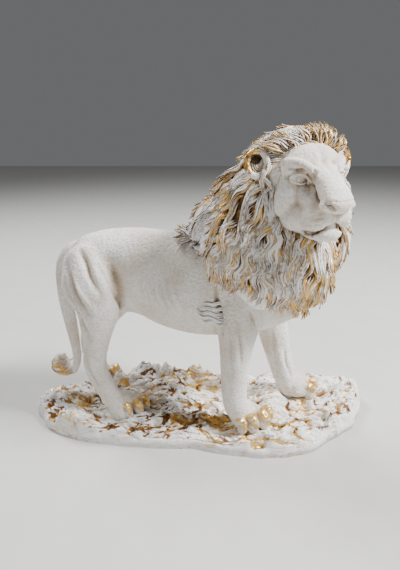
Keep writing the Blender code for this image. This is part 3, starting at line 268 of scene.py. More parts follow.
# Small locks behind each elbow.
ELBOW_LOCKS = [
    [(28.4, -36.3, 106.7), (21.5, -31.7, 103.6), (14.4, -30.2, 106.3), (9.6, -31.4, 105.3),
     (5.6, -31.4, 109.9)],
    [(27.5, -35.9, 110.9), (20.1, -31.7, 107.6), (13.0, -31.8, 110.8), (7.3, -32.2, 110.2),
     (3.6, -32.2, 115.0)],
    [(26.5, -35.2, 115.8), (19.3, -32.3, 112.4), (12.3, -32.3, 115.0), (6.5, -32.3, 114.5),
     (3.0, -32.3, 119.0)],
    [(25.5, -34.6, 120.6), (18.5, -32.9, 117.8), (11.5, -32.9, 119.6), (6.0, -32.4, 119.2)],
    [(23.0, -33.5, 124.4), (16.2, -33.6, 122.5), (11.3, -33.3, 124.2), (7.0, -32.8, 123.4)],
]
# The tail tuft's locks, on its near side.
TUFT_LOCKS = [
    [(-126, -7, 28), (-132, -9, 24.5), (-139, -9, 26.5), (-146, -7, 27.5), (-149, -6, 33)],
    [(-126, -8, 32), (-132, -10, 28.5), (-138, -11, 31.5), (-144, -9, 31.5), (-148, -7, 37)],
    [(-128, -9, 36), (-133, -11, 33.5), (-138, -11, 36.5), (-143, -9, 36), (-146, -7, 42)],
    [(-129, -9, 40), (-134, -11, 38), (-138, -11, 41), (-142, -9, 41), (-144, -7, 46)],
    [(-131, -8, 43.5), (-134, -9, 42), (-138, -8, 45), (-139, -6, 49)],
]

# The outline of the base, as shares of its length and width from the middle.
BASE_OUTLINE = [
    (-0.500, 0.09), (-0.462, -0.06), (-0.430, -0.17), (-0.360, -0.262), (-0.290, -0.315), (-0.185, -0.362),
    (-0.105, -0.380), (-0.02, -0.385), (0.08, -0.450), (0.185, -0.478), (0.280, -0.435), (0.360, -0.302),
    (0.420, -0.182), (0.458, -0.09), (0.500, 0.20), (0.497, 0.33), (0.462, 0.42), (0.36, 0.48), (0.19, 0.47),
    (0.04, 0.47), (-0.05, 0.52), (-0.14, 0.50), (-0.235, 0.46), (-0.355, 0.40), (-0.45, 0.27),
]
# Each row is x, y, radius and rise.
ROCK_BUMPS = [
    (-33, 46, 11, 16), (-60, 45, 9, 9), (-88, 34, 7, 12), (-5, 47, 10, 7), (150, 26, 9, 5), (-150, 14, 9, 4),
    (60, 36, 9, 5), (122, 34, 10, 5), (-135, -4, 8, 4), (20, 40, 8, 5),
]


def curve_through(rows, per_span=5):
    """Rows of numbers read off a smooth Catmull-Rom curve through the given rows."""
    rows = np.asarray(rows, float)
    ends = np.vstack([2 * rows[0] - rows[1], rows, 2 * rows[-1] - rows[-2]])
    out = []
    for i in range(1, len(ends) - 2):
        a, b, c, d = ends[i - 1 : i + 3]
        for t in np.arange(per_span) / per_span:
            bend = (2 * a - 5 * b + 4 * c - d) * t**2 + (3 * b - a - 3 * c + d) * t**3
            out.append(0.5 * (2 * b + (c - a) * t + bend))
    return np.vstack([out, rows[-1]])


def bands(count, sides):
    """The quads of so many bands between rings of points."""
    ends = [(j, (j + 1) % sides) for j in range(sides)]
    starts = range(0, count * sides, sides)
    return [(i + j, i + k, i + sides + k, i + sides + j) for i in starts for j, k in ends]


def tube(centres, radii, across, sides, square=1.0):
    """Shell of rings along a line. radii holds the depth and the width; across points along the width."""
    tangents = np.gradient(centres, axis=0)
    tangents /= np.linalg.norm(tangents, axis=1, keepdims=True)
    across = np.broadcast_to(np.asarray(across, float), centres.shape)
    width = across - (across * tangents).sum(1, keepdims=True) * tangents
    width /= np.linalg.norm(width, axis=1, keepdims=True)
    depth = np.cross(width, tangents)
    turn = np.linspace(0, 2 * math.pi, sides, endpoint=False)
    deep = np.sign(np.cos(turn)) * np.abs(np.cos(turn)) ** square
    wide = np.sign(np.sin(turn)) * np.abs(np.sin(turn)) ** square
    ring = depth[:, None] * (radii[:, 0:1] * deep)[:, :, None]
    ring = ring + width[:, None] * (radii[:, 1:2] * wide)[:, :, None]
    points = (centres[:, None] + ring).reshape(-1, 3)
    faces = bands(len(centres) - 1, sides)
    last = (len(centres) - 1) * sides
    faces.append(tuple(range(sides - 1, -1, -1)))
    faces.append(tuple(last + j for j in range(sides)))
    return points, faces


def limb(rows, across=(0, 1, 0), sides=20, square=1.0):
    """A lofted limb with rounded ends. Each row is x, y, z, half depth, half width."""
    rows = curve_through(rows)
    ends = []
    for row, inner in ((rows[0], rows[1]), (rows[-1], rows[-2])):
        along = (row[:3] - inner[:3]) / np.linalg.norm(row[:3] - inner[:3])
        cap = []
        for swing in np.radians((25, 50, 75)):
            place = row[:3] + along * row[3:].min() * math.sin(swing)
            cap.append(np.concatenate([place, row[3:] * math.cos(swing)]))
        ends.append(cap)
    rows = np.vstack([ends[0][::-1], rows, ends[1]])
    return tube(rows[:, :3], rows[:, 3:], across, sides, square)


def ball(centre, radii, turn=None, rings=16, sides=28):
    """An ellipsoid shell. turn is a 3x3 rotation."""
    polar = np.linspace(0, math.pi, rings + 1)[1:-1]
    azimuth = np.linspace(0, 2 * math.pi, sides, endpoint=False)
    level = np.repeat(np.cos(polar), sides)
    reach = np.repeat(np.sin(polar), sides)
    azimuth = np.tile(azimuth, rings - 1)
    points = np.stack([reach * np.cos(azimuth), reach * np.sin(azimuth), level], axis=1)
    points = np.vstack([points, (0, 0, 1), (0, 0, -1)])
    top, bottom = len(points) - 2, len(points) - 1
    faces = []
    for j in range(sides):
        k = (j + 1) % sides
        faces.append((top, j, k))
        faces.append((bottom, (rings - 2) * sides + k, (rings - 2) * sides + j))
        for i in range(rings - 2):
            faces.append((i * sides + j, (i + 1) * sides + j, (i + 1) * sides + k, i * sides + k))
    points = points * np.asarray(radii, float)
    if turn is not None:
        points = points @ np.array(turn).T
    return points + np.asarray(centre, float), faces


def joined(shells):
    """Several shells as one list of points and faces."""
    points, faces, offset = [], [], 0
    for shell_points, shell_faces in shells:
        points.append(shell_points)
        faces += [tuple(offset + i for i in face) for face in shell_faces]
        offset += len(shell_points)
    return np.vstack(points), faces


def moved(shell, matrix):
    points, faces = shell
    matrix = np.array(matrix)
    return points @ matrix[:3, :3].T + matrix[:3, 3], faces


def mesh_of(shell, name):
    mesh = bpy.data.meshes.new(name)
    mesh.from_pydata([tuple(p) for p in shell[0]], [], shell[1])
    return mesh


def shell_of(mesh):
    points = np.empty(len(mesh.vertices) * 3, np.float32)
    mesh.vertices.foreach_get("co", points)
    return points.reshape(-1, 3).astype(float), [tuple(p.vertices) for p in mesh.polygons]


def evaluated_mesh(obj):
    """The object's mesh after its modifiers, with the object itself removed."""
    graph = bpy.context.evaluated_depsgraph_get()
    mesh = bpy.data.meshes.new_from_object(obj.evaluated_get(graph))
    bpy.data.objects.remove(obj)
    return mesh


def fused(shells, voxel, softness=0.0):
    """The shells melted into one closed shell of even quads, then rounded over the softness, a length."""
    obj = bpy.data.objects.new("clay", mesh_of(joined(shells), "clay"))
    bpy.context.scene.collection.objects.link(obj)
    melt = obj.modifiers.new("melt", "REMESH")
    melt.mode = "VOXEL"
    melt.voxel_size = voxel
    if softness:
        smooth = obj.modifiers.new("smooth", "SMOOTH")
        smooth.factor = 0.5
        smooth.iterations = max(1, round(3.2 * (softness / voxel) ** 2))
    mesh = evaluated_mesh(obj)
    shell = shell_of(mesh)
    bpy.data.meshes.remove(mesh)
    return largest_piece(shell)


def largest_piece(shell):
    """The shell without any crumb that touches nothing else."""
    points, faces = shell
    sides = np.array([(face[i - 1], face[i]) for face in faces for i in range(len(face))])
    label = np.arange(len(points))
    while True:
        lower = label.copy()
        least = np.minimum(label[sides[:, 0]], label[sides[:, 1]])
        np.minimum.at(lower, sides[:, 0], least)
        np.minimum.at(lower, sides[:, 1], least)
        lower = lower[lower]
        if (lower == label).all():
            break
        label = lower
    kept = label == np.bincount(label).argmax()
    place = np.cumsum(kept) - 1
    return points[kept], [tuple(int(place[i]) for i in face) for face in faces if kept[face[0]]]


def toes_of(heel, middle, heading, size, floor, first):
    """A paw's toes, each as its place on the rock, the paw's turn and the toe's size."""
    turn = np.array(Matrix.Rotation(math.radians(heading), 3, "Z"))
    for ahead, aside, share in TOES[first:]:
        yield np.array((*middle, floor)) + turn @ np.array((ahead, aside, 0)) * size, turn, size * share


def paw(heel, middle, heading, size, floor, first):
    """A broad paw, from the heel under the leg to the knuckled toes."""
    turn = np.array(Matrix.Rotation(math.radians(heading), 3, "Z"))
    instep = (np.array(heel) + np.array(middle)) / 2
    shells = [
        ball((*instep, floor + 14 * size), np.array((11, 12, 12)) * size, turn),
        ball((*middle, floor + 9 * size), np.array((13, 14.5, 9.5)) * size, turn),
    ]
    for spot, turn, thick in toes_of(heel, middle, heading, size, floor, first):
        for place, radii in (((-4.5, 0, 12), (7.5, 4.9, 7)), ((2.2, 0, 5.6), (5.6, 4.7, 6.6))):
            shells.append(ball(spot + turn @ np.array(place) * thick, np.array(radii) * thick, turn))
    return shells


def claws():
    """The claws, each a blunt wedge that comes out from under the skin of its toe."""
    shells = []
    for row in PAWS:
        for spot, turn, thick in toes_of(*row):
            rows = [(*(spot + turn @ np.array(r[:3]) * thick), r[3] * thick, r[4] * thick) for r in CLAW]
            shells.append(limb(rows, turn[:, 1], 8))
    return shells


def both_sides(rows):
    """The same line of rows on either side of the middle plane."""
    return [[(row[0], side * row[1], *row[2:]) for row in rows] for side in (1, -1)]


def paired(strokes):
    """Each stroke twice, on either side of the middle plane."""
    return [(side, *rest) for line, *rest in strokes for side in both_sides(line)]


def body(voxel):
    """Trunk, legs, paws and tail, blended into each other."""
    shells = [limb(TRUNK, sides=36)]
    shells += [limb(rows, sides=28) for rows in (NEAR_THIGH, FAR_THIGH, NEAR_FORELEG, FAR_FORELEG)]
    shells.append(limb(TAIL, sides=16))
    flesh = fused(shells, voxel, 2.4)
    shells = [flesh, limb(TAIL_TUFT, sides=16)]
    for row in PAWS:
        shells += paw(*row)
    shells += claws()
    return stroked(fused(shells, voxel, 0.8), paired(RIBS + FLANK_STROKES) + LEG_STROKES)


def mirrored(rows):
    """Rows starting x, y, z, followed by the same rows across the head's middle plane."""
    out = []
    for row in rows:
        out.append(row)
        if row[1]:
            out.append((row[0], -row[1], row[2], *row[3:]))
    return out


def ear(side, out, half_width, half_height):
    """A round ear with a raised rim and a hollow front, on one side of the head."""
    centre = np.array((-3.0, side * out, 0.0))
    turn = Matrix.Rotation(math.radians(side * 22), 3, "Z") @ Matrix.Rotation(math.radians(-10), 3, "Y")
    turn = np.array(turn)
    shells = [ball(centre - turn[:, 0] * 4.1, (3.1, half_width + 1.4, half_height + 1.3), turn)]
    rim = []
    for angle in np.radians(np.arange(0, 361, 15)):
        spot = centre + turn @ np.array((0.2, half_width * math.cos(angle), half_height * math.sin(angle)))
        rim.append((*spot, 2.3, 1.9))
    rows = np.array(rim)
    shells.append(tube(rows[:, :3], rows[:, 3:], turn[:, 0], 10))
    root = centre + turn @ np.array((-6.5, -side * 6.0, -5.0))
    shells.append(ball(root, (6, 9, 9), turn))
    return shells


def head(voxel):
    """The head in its own frame: large forms, then eyes, lids, lips and ears, then the tool strokes."""
    masses = [ball(row[:3], row[3:]) for row in mirrored(HEAD_BALLS)]
    masses += [limb(rows, sides=16) for rows in both_sides(BROW)]
    masses.append(limb(NOSE_BRIDGE, sides=32, square=0.7))
    masses.append(limb(MUZZLE, sides=32, square=0.8))
    shells = [stroked(fused(masses, voxel, 1.8), paired(FACE_HOLLOWS))]
    shells += [ball(row[:3], row[3:]) for row in mirrored(FACE_DETAILS)]
    for rows in EYELIDS:
        shells += [limb([(*row, row[3]) for row in side], (1, 0, 0), 10) for side in both_sides(rows)]
    for row in EARS:
        shells += ear(*row)
    x, y, z, radius = IRIS
    around = np.radians(np.arange(0, 361, 30))
    ring = [(x, y + radius * math.cos(a), z + radius * math.sin(a)) for a in around]
    return stroked(fused(shells, voxel, 0.45), paired([*FACE_STROKES, (ring, 0.5, 0.6, 0)]) + MIDDLE_STROKES)


def head_matrix():
    place = Matrix.Translation(HEAD_PLACE)
    turn = Matrix.Rotation(HEAD_TURN, 4, "Z") @ Matrix.Rotation(HEAD_NOD, 4, "Y")
    return place @ turn @ Matrix.Rotation(HEAD_TILT, 4, "X")


def near_line(points, line):
    """Distance from each point to a polyline, and how far along it the nearest place lies, from 0 to 1."""
    line = np.asarray(line, float)
    best = np.full(len(points), 1e9)
    along = np.zeros(len(points))
    spans = len(line) - 1
    for i in range(spans):
        a, b = line[i], line[i + 1]
        run = b - a
        t = np.clip(((points - a) @ run) / max(run @ run, 1e-9), 0, 1)
        gap = np.linalg.norm(points - (a + t[:, None] * run), axis=1)
        closer = gap < best
        best[closer] = gap[closer]
        along[closer] = (i + t[closer]) / spans
    return best, along


def normals_of(shell):
    """Unit normals at the points of a shell of quads and triangles."""
    points, faces = shell
    total = np.zeros_like(points)
    for count in (3, 4):
        group = np.array([f for f in faces if len(f) == count], int).reshape(-1, count)
        if len(group):
            a, b, c = points[group[:, 0]], points[group[:, 1]], points[group[:, 2]]
            normal = np.cross(b - a, c - a) if count == 3 else np.cross(c - a, points[group[:, 3]] - b)
            for k in range(count):
                np.add.at(total, group[:, k], normal)
    return total / np.maximum(np.linalg.norm(total, axis=1, keepdims=True), 1e-12)


def stroked(shell, strokes):
    """The shell pressed in or raised along strokes, each a line, a width, a depth and a taper."""
    points, faces = shell
    points = points.copy()
    normals = normals_of(shell)
    surface = surface_of(shell)
    for line, width, depth, taper in strokes:
        line = curve_through(line, 4) if len(line) > 2 else np.asarray(line, float)
        line = np.array([surface.find_nearest(Vector(p))[0] for p in line])
        low, high = line.min(0) - width * 3, line.max(0) + width * 3
        close = np.flatnonzero(((points > low) & (points < high)).all(1))
        if not len(close):
            continue
        gap, along = near_line(points[close], line)
        fade = 1 - taper * (1 - np.sin(math.pi * np.clip(along, 0.02, 0.98)))
        push = depth * fade * np.exp(-((gap / width) ** 2))
        points[close] -= normals[close] * push[:, None]
    return points, faces


def surface_of(shell):
    return BVHTree.FromPolygons([Vector(p) for p in shell[0]], shell[1])


def flow_at(point):
    """Which way the hair lies at a place, from given samples."""
    gap = np.linalg.norm(FLOW[:, :3] - point, axis=1)
    weight = 1 / (gap + 4) ** 3
    direction = (FLOW[:, 3:] * weight[:, None]).sum(0)
    return direction / np.linalg.norm(direction)


def scattered(shell, spacing, keep, seed):
    """Places spread over the shell at least the spacing apart, where keep allows them."""
    points = shell[0]
    rng = np.random.default_rng(seed)
    chosen = []
    cells = {}
    for i in rng.permutation(len(points)):
        p = points[i]
        if not keep(p):
            continue
        key = tuple(int(c // spacing) for c in p)
        around = [
            q
            for dx in (-1, 0, 1)
            for dy in (-1, 0, 1)
            for dz in (-1, 0, 1)
            for q in cells.get((key[0] + dx, key[1] + dy, key[2] + dz), ())
        ]
        if all((p - q) @ (p - q) > spacing**2 for q in around):
            cells.setdefault(key, []).append(p)
            chosen.append(p)
    return chosen


def traced(surface, start, length, wave, bend, step=2.0):
    """A line combed over the surface with the flow, waving from side to side. Gives places and normals."""
    spot, normal, _, _ = surface.find_nearest(start)
    places, normals = [], []
    count = max(5, int(round(length / step)))
    for i in range(count + 1):
        place, n = np.array(spot), np.array(normal)
        places.append(place)
        normals.append(n)
        flow = flow_at(place)
        ahead = flow - (flow @ n) * n
        ahead /= max(np.linalg.norm(ahead), 1e-6)
        aside = np.cross(n, ahead)
        drift = noise.noise(Vector(place * 0.03)) * 5
        angle = wave * math.sin(2 * math.pi * (place @ flow) / CURL + drift) + bend * i / count
        spot, normal, _, _ = surface.find_nearest(
            Vector(place + (ahead * math.cos(angle) + aside * math.sin(angle)) * step)
        )
    return np.array(places), np.array(normals)


def lock(places, normals, strands, width, height, lift, rng):
    """A pointed lock lying on a traced line, parted into strands that close up towards its tip."""
    tangents = np.gradient(places, axis=0)
    across = np.cross(normals, tangents)
    across /= np.maximum(np.linalg.norm(across, axis=1, keepdims=True), 1e-9)
    shells = []
    for i in range(strands):
        offset = (i - (strands - 1) / 2) * width * 1.6
        count = len(places) - (rng.randint(0, 3) if strands > 1 else 0)
        share = np.linspace(0, 1, count)
        swell = np.clip(np.minimum(share / 0.25, (1 - share) / 0.5), 0.1, 1) ** 0.75
        rise = height * (0.1 + 0.9 * np.sqrt(share)) + lift * np.clip(share - 0.6, 0, 1) ** 1.5 * 4
        rise = rise - abs(offset) * 0.3
        sway = width * 0.5 * (strands > 1) * np.sin(share * rng.uniform(5, 9) + rng.uniform(0, 6))
        spread = offset * (1 - 0.75 * share**1.4) + sway
        centres = places[:count] + normals[:count] * rise[:, None] + across[:count] * spread[:, None]
        radii = np.stack([height * 0.5 * swell + 0.25, width * swell], axis=1)
        shells.append(tube(centres, radii, across[:count], STRAND_SIDES))
    return shells


def mane_core(voxel):
    place = head_matrix()
    shells = [moved(ball(row[:3], row[3:]), place) for row in mirrored(RUFF_BALLS)]
    shells += [ball(row[:3], row[3:]) for row in MANE_BALLS]
    return fused(shells, voxel, 3.0)


def outside(surface, point, slack):
    """Whether a point lies outside a closed surface, or no deeper inside it than the slack."""
    spot, normal, _, gap = surface.find_nearest(Vector(point))
    return gap < slack or (Vector(point) - spot) @ normal > 0


def mane(core, flesh, face, spacing, strands, width, boldness=1.0, seed=5, lift=3.0):
    """Locks over the mane's mass, rooted up to the face and falling over the shoulders."""
    under = surface_of(fused([core, flesh], 2.0, 2.0))
    skin = surface_of(face)
    trunk = surface_of(flesh)
    rng = random.Random(seed)
    shells = []
    roots = scattered(core, spacing, lambda p: outside(skin, p, 3.5) and outside(trunk, p, 2.0), seed)
    for root in roots:
        length = rng.uniform(22, 44)
        places, normals = traced(under, Vector(root), length, rng.uniform(0.35, 0.75), rng.uniform(-0.3, 0.3))
        edge = np.interp(places[:, 0], MANE_EDGE[:, 0], MANE_EDGE[:, 1]) - rng.uniform(-3, 6)
        kept = int((places[:, 2] > edge).sum())
        if kept < 6:
            continue
        places, normals = places[:kept], normals[:kept]
        height = rng.uniform(1.8, 3.0) * boldness
        tip = lift * (rng.uniform(0, 1) + (rng.random() < 0.15))
        shells += lock(places, normals, strands, width * rng.uniform(0.85, 1.15), height, tip, rng)
    return shells


def hairline(core, face, spacing, strands, width, height, seed=7):
    """Short locks that bring the mane's edge forward over the temples and the brow."""
    rng = random.Random(seed)
    mass = surface_of(core)
    surface = surface_of(joined([core, face]))
    inward = head_matrix().inverted()

    def keep(p):
        q = inward @ Vector(p)
        return q.z > -1 and q.x > -8 and abs(q.y) < 30 and mass.find_nearest(Vector(p))[3] < 6.5

    shells = []
    for root in scattered(face, spacing, keep, seed):
        places, normals = traced(surface, Vector(root), rng.uniform(9, 17), 0.7, rng.uniform(-0.5, 0.5), 1.6)
        shells += lock(places, normals, strands, width, height, rng.uniform(0, 1.5), rng)
    return shells


def laid_on(surface, guide):
    """The guide's places brought down to the surface, and the surface's normals there."""
    spots = [surface.find_nearest(Vector(p))[:2] for p in guide]
    return [np.array([spot[k] for spot in spots]) for k in (0, 1)]


def sideburns(core, face, strands, width, height, seed=9):
    """A band of short locks in front of each ear."""
    rng = random.Random(seed)
    surface = surface_of(joined([core, face]))
    shells = []
    for line in both_sides(SIDEBURN):
        for shift in (-4, -2.4, -0.8, 0.8, 2.4, 4):
            guide = curve_through(line, 4) + (shift * 0.6, shift * 0.3, shift * 0.5)
            places, normals = laid_on(surface, [head_matrix() @ Vector(p) for p in guide])
            kept = len(places) - rng.randint(0, 7)
            shells += lock(places[:kept], normals[:kept], strands, width, height, 0.3, rng)
    return shells


def small_locks(surface, lines, strands, width, height, seed=11):
    """Short locks along set lines on the surface, on both sides of the middle plane."""
    rng = random.Random(seed)
    shells = []
    for line in lines:
        for side in both_sides(line):
            shells += lock(*laid_on(surface, curve_through(side, 4)), strands, width, height, 0.3, rng)
    return shells


def forelock(count, size, seed=3):
    """Tufts over the brow, tallest a little to the left of the middle, sweeping back."""
    rng = random.Random(seed)
    place = head_matrix()
    shells = []
    for _ in range(count):
        y = rng.uniform(-20, 25)
        upright = math.exp(-(((y - 9) / 11) ** 2))
        root = Vector((rng.uniform(-10, 4), y, 10 - (y / 20) ** 2 * 4))
        reach = rng.uniform(8, 11) + 12 * upright
        sway = rng.uniform(-3, 3) + (y - 7) * 0.75
        sweep = rng.uniform(6, 11) - 3 * upright
        turn = rng.uniform(0, 6)
        rows = []
        for share in np.linspace(0, 1, 9):
            spot = root + Vector((
                3.0 * math.sin(share * 2.6) - sweep * share**2,
                sway * share + 1.5 * math.sin(share * 6 + turn),
                reach * share * (1 - 0.25 * share),
            ))
            girth = size * max(0.15, min(1, share / 0.15 + 0.3, (1 - share) / 0.6))
            rows.append((*(place @ spot), girth * 0.8, girth * 1.3))
        rows = np.array(rows)
        shells.append(tube(rows[:, :3], rows[:, 3:], (-0.3, -0.8, -0.2), STRAND_SIDES))
    return shells


def base_rim():
    """The base's outline as a smooth closed line through its named points."""
    length, width = BASE_LENGTH / UNIT, BASE_WIDTH / UNIT
    rows = np.array([(x * length, y * width) for x, y in BASE_OUTLINE])
    per_span = 8
    wrapped = curve_through(np.vstack([rows[-2:], rows, rows[:2]]), per_span)
    rim = wrapped[2 * per_span : (2 + len(rows)) * per_span]
    return rim * (1 + 0.02 * np.array([[noise.noise(Vector((x * 0.07, y * 0.07, 3)))] for x, y in rim]))


def rock_height(x, y, inland):
    """Height of the broken rock at a place, inland being how far the rim is."""
    warp = noise.noise(Vector((x * 0.02, y * 0.03, 2.0)))
    swirl = noise.noise(Vector((x * 0.035 + 7, y * 0.05, 5.0)))
    low = noise.noise(Vector((x * 0.022, y * 0.04, 9.0)))
    u = x * 0.045 + warp * 1.1
    v = y * 0.16 + swirl * 1.7
    streaks = 1 - abs(noise.noise(Vector((u, v, 0.5)))) * 2.2
    fine = 1 - abs(noise.noise(Vector((u * 2.1 + 3, v * 2.6, 4.5)))) * 2.4
    jagged = 1 - abs(noise.noise(Vector((x * 0.11, y * 0.16, 3.0)))) * 2.2
    crackle = 1 - abs(noise.noise(Vector((x * 0.16 + swirl * 2, y * 0.34 + warp, 7.0)))) * 2.6
    lumps = noise.noise(Vector((x * 0.05 + swirl, y * 0.08, 1.5)))
    height = low * 8 + lumps * 7 + streaks * 4.5 + fine * 2.2 + crackle * 1.6 + jagged * 1.8 - 3.5
    for bx, by, radius, rise in ROCK_BUMPS:
        gap = math.hypot((x - bx) / 1.7, y - by) / radius
        if gap < 2.4:
            height += rise * math.exp(-gap * gap * 1.2) * (0.55 + 0.3 * streaks + 0.45 * jagged)
    return height * min(1, inland / 7 + 0.35)


def rock_base(spacing):
    """The rocky base as one closed shell: broken top, low smooth rim, flat underside."""
    rim = base_rim()
    steps = np.linalg.norm(np.roll(rim, -1, axis=0) - rim, axis=1)
    travel = np.concatenate([[0], np.cumsum(steps)])
    closed = np.vstack([rim, rim[:1]])
    around = max(48, int(travel[-1] / spacing))
    where = np.linspace(0, travel[-1], around, endpoint=False)
    rim = np.stack([np.interp(where, travel, closed[:, k]) for k in (0, 1)], axis=1)
    middle = np.array((2.0, -4.0))
    rings = max(12, int(150 / spacing))
    sole = SOLE_HEIGHT / UNIT
    cos_h, sin_h = math.cos(HEADING), math.sin(HEADING)
    pads = []
    for row in PAWS:
        spots = [(*row[0], row[3] * 10), (*row[1], row[3] * 13)]
        spots += [(*spot[:2], thick * 7) for spot, _, thick in toes_of(*row)]
        for px, py, reach in spots:
            pads.append((
                px * cos_h - py * sin_h, px * sin_h + py * cos_h + STANCE_OFFSET / UNIT, reach, row[4] + 0.8,
            ))
    reach = np.linalg.norm(rim - middle, axis=1)
    points = []
    for i in range(rings, 0, -1):
        share = (i / rings) ** 0.9
        ring = middle + (rim - middle) * share
        if i == rings:
            for x, y in ring:
                points.append((x, y, 0))
            for x, y in ring:
                points.append((x, y, sole * 0.5 + noise.noise(Vector((x * 0.05, y * 0.05, 1))) * 4))
            continue
        for (x, y), full in zip(ring, reach):
            inland = (1 - share) * full
            height = sole + rock_height(x, y, inland)
            firm, floor = max(
                (math.exp(-(((x - a) ** 2 + (y - b) ** 2) / (r * 1.05) ** 2) ** 2), f) for a, b, r, f in pads
            )
            height = height * (1 - firm) + (sole + floor) * firm
            edge = min(1.0, inland / 3.5)
            height = (sole * 0.6) * (1 - edge) + height * edge
            points.append((x, y, max(height, 5)))
    points.append((*middle, sole + rock_height(*middle, 50)))
    points.append((*middle, 0))
    faces = bands(rings, around)
    top, bottom = len(points) - 2, len(points) - 1
    last = rings * around
    for j in range(around):
        k = (j + 1) % around
        faces.append((last + j, last + k, top))
        faces.append((k, j, bottom))
    return np.array(points), faces


def stance():
    """The turn and shift that set the lion on its rocks."""
    place = (0, STANCE_OFFSET / UNIT, SOLE_HEIGHT / UNIT)
    return Matrix.Translation(place) @ Matrix.Rotation(HEADING, 4, "Z")


def sunk(shell, depth):
    return shell[0] - normals_of(shell) * depth, shell[1]


# How finely each form is worked, in the figure's millimetres.
BODY_VOXEL = 0.95
FACE_VOXEL = 0.55
MANE_VOXEL = 1.6
CLAW_VOXEL = 0.45
ROCK_SPACING = 1.12
# How deep the grooves are dragged into the rocks.
GROOVE_DEPTH = 1.1
# The most triangles that each piece keeps.
MOST_TRIANGLES = {
    "lion_body": 170000, "lion_head": 120000, "claws": 40000, "mane_right": 197000, "mane_left": 197000,
    "mane_ground": 40000, "rocky_base": 195000,
}
# The short fur of the body and the face, in millimetres: how broad its lumps are, then its paint's depth.
BODY_FUR_SIZE = 1.9
FACE_FUR_SIZE = 1.8
BODY_FUR_MM = 1.3
FACE_FUR_MM = 0.5
# Each light is its name, place, target, size in metres, watts and colour.
LIGHTS = [
    ("key", (1.0, -0.28, 1.1), (0.02, 0, 0.12), 0.3, 52, (0.98, 0.99, 1.0)),
    ("fill", (-1.0, -1.0, 0.4), (0, 0, 0.12), 1.0, 2.6, (1.0, 0.94, 0.87)),
    ("back", (-0.6, 0.5, 1.3), (0, 0, 0.15), 0.5, 26, (0.96, 0.98, 1.0)),
]
DAYLIGHT = 0.17
CAMERA_PLACE = (0, -0.33, 0.26)
CAMERA_PITCH = math.radians(70)
LENS_MM = 25.26


def linear(hex_colour):
    """An sRGB hex colour as linear light, with full alpha."""
    out = []
    for i in (0, 2, 4):
        c = int(hex_colour[i : i + 2], 16) / 255
        out.append(c / 12.92 if c <= 0.04045 else ((c + 0.055) / 1.055) ** 2.4)
    return (*out, 1.0)


def colour_property(name, description, hex_colour):
    return bpy.props.FloatVectorProperty(
        name=name, description=description, default=linear(hex_colour), subtype="COLOR", size=4, min=0, max=1
    )


class LionCarving(bpy.types.PropertyGroup):
    """How finely the casting is carved."""

    lock_spacing: bpy.props.FloatProperty(
        name="Lock spacing", description="Distance between the roots of two mane locks", default=0.0048,
        min=0.004, max=0.012, unit="LENGTH",
    )
    strand_width: bpy.props.FloatProperty(
        name="Strand width", description="Half width of one strand of a mane lock", default=0.0009,
        min=0.0008, max=0.003, unit="LENGTH",
    )
    tufts: bpy.props.IntProperty(
        name="Forelock tufts", description="How many tufts stand over the brow", default=170, min=10, max=300
    )
    fur_relief: bpy.props.FloatProperty(
        name="Fur relief", description="Depth of the short fur stippled over the body", default=0.0003,
        min=0, max=0.001, unit="LENGTH",
    )


class LionPaint(bpy.types.PropertyGroup):
    """The painter's colours."""

    white: colour_property("White", "Matt white brushed over the whole casting", "F3F1ED")
    # Beige: painted shade in the hollows of the body and face, and also a random mottle and fur speckle.
    beige_shade_and_mottle: colour_property("Warm wash", "Thin beige wash left in the hollows of the body", "CDB79E")
    # Grey: painted shade on the sides of the mane's strands.
    grey_side_shade: colour_property("Grey wash", "Thin grey left on the sides of the mane's strands", "A59C93")
    gold: colour_property("Gold", "Antique gold wiped over the mane, claws and rocks", "EBC277")
    bronze: colour_property("Bronze", "Brown bronze left in the grooves", "805428")
    # Umber: painted shade in the deepest hollows and grooves of every paint.
    umber_painted_shade: colour_property("Umber", "Dark wash in the deepest grooves", "2E2117")


def add_node(tree, kind, inputs=None, **settings):
    """Adds a node of the kind with its settings, its inputs set or linked by name or number."""
    node = tree.nodes.new(kind)
    for key, value in settings.items():
        setattr(node, key, value)
    for key, value in (inputs or {}).items():
        if isinstance(value, bpy.types.NodeSocket):
            tree.links.new(value, node.inputs[key])
        else:
            node.inputs[key].default_value = value
    return node


def new_material(name):
    material = bpy.data.materials.new(name)
    material.use_nodes = True
    material.node_tree.nodes.clear()
    return material, material.node_tree


def over(tree, share, below, above):
    """One coat of colour over another, by its share of the surface."""
    return add_node(tree, "ShaderNodeMix", {0: share, 6: below, 7: above}, data_type="RGBA").outputs[2]


def between(tree, value, low, high, start=0.0, end=1.0):
    """A value eased from start to end as it goes from low to high."""
    ramp = add_node(
        tree, "ShaderNodeMapRange",
        {"Value": value, "From Min": low, "From Max": high, "To Min": start, "To Max": end},
        interpolation_type="SMOOTHSTEP",
    )
    return ramp.outputs[0]


def sums(tree, kind, first, second):
    return add_node(tree, "ShaderNodeMath", {0: first, 1: second}, operation=kind).outputs[0]


def mask(tree, name):
    return add_node(tree, "ShaderNodeAttribute", attribute_name=name).outputs["Fac"]


def grain(tree, size_mm, detail=3.0, roughness=0.55, stretch=(1, 1, 1), swirl=0.0):
    """Soft noise whose lumps are about the given size."""
    where = add_node(tree, "ShaderNodeTexCoord").outputs["Object"]
    where = add_node(tree, "ShaderNodeMapping", {"Vector": where, "Scale": stretch}).outputs[0]
    look = {"Scale": 1000 / size_mm, "Detail": detail, "Roughness": roughness, "Distortion": swirl}
    return add_node(tree, "ShaderNodeTexNoise", {"Vector": where, **look}).outputs[0]


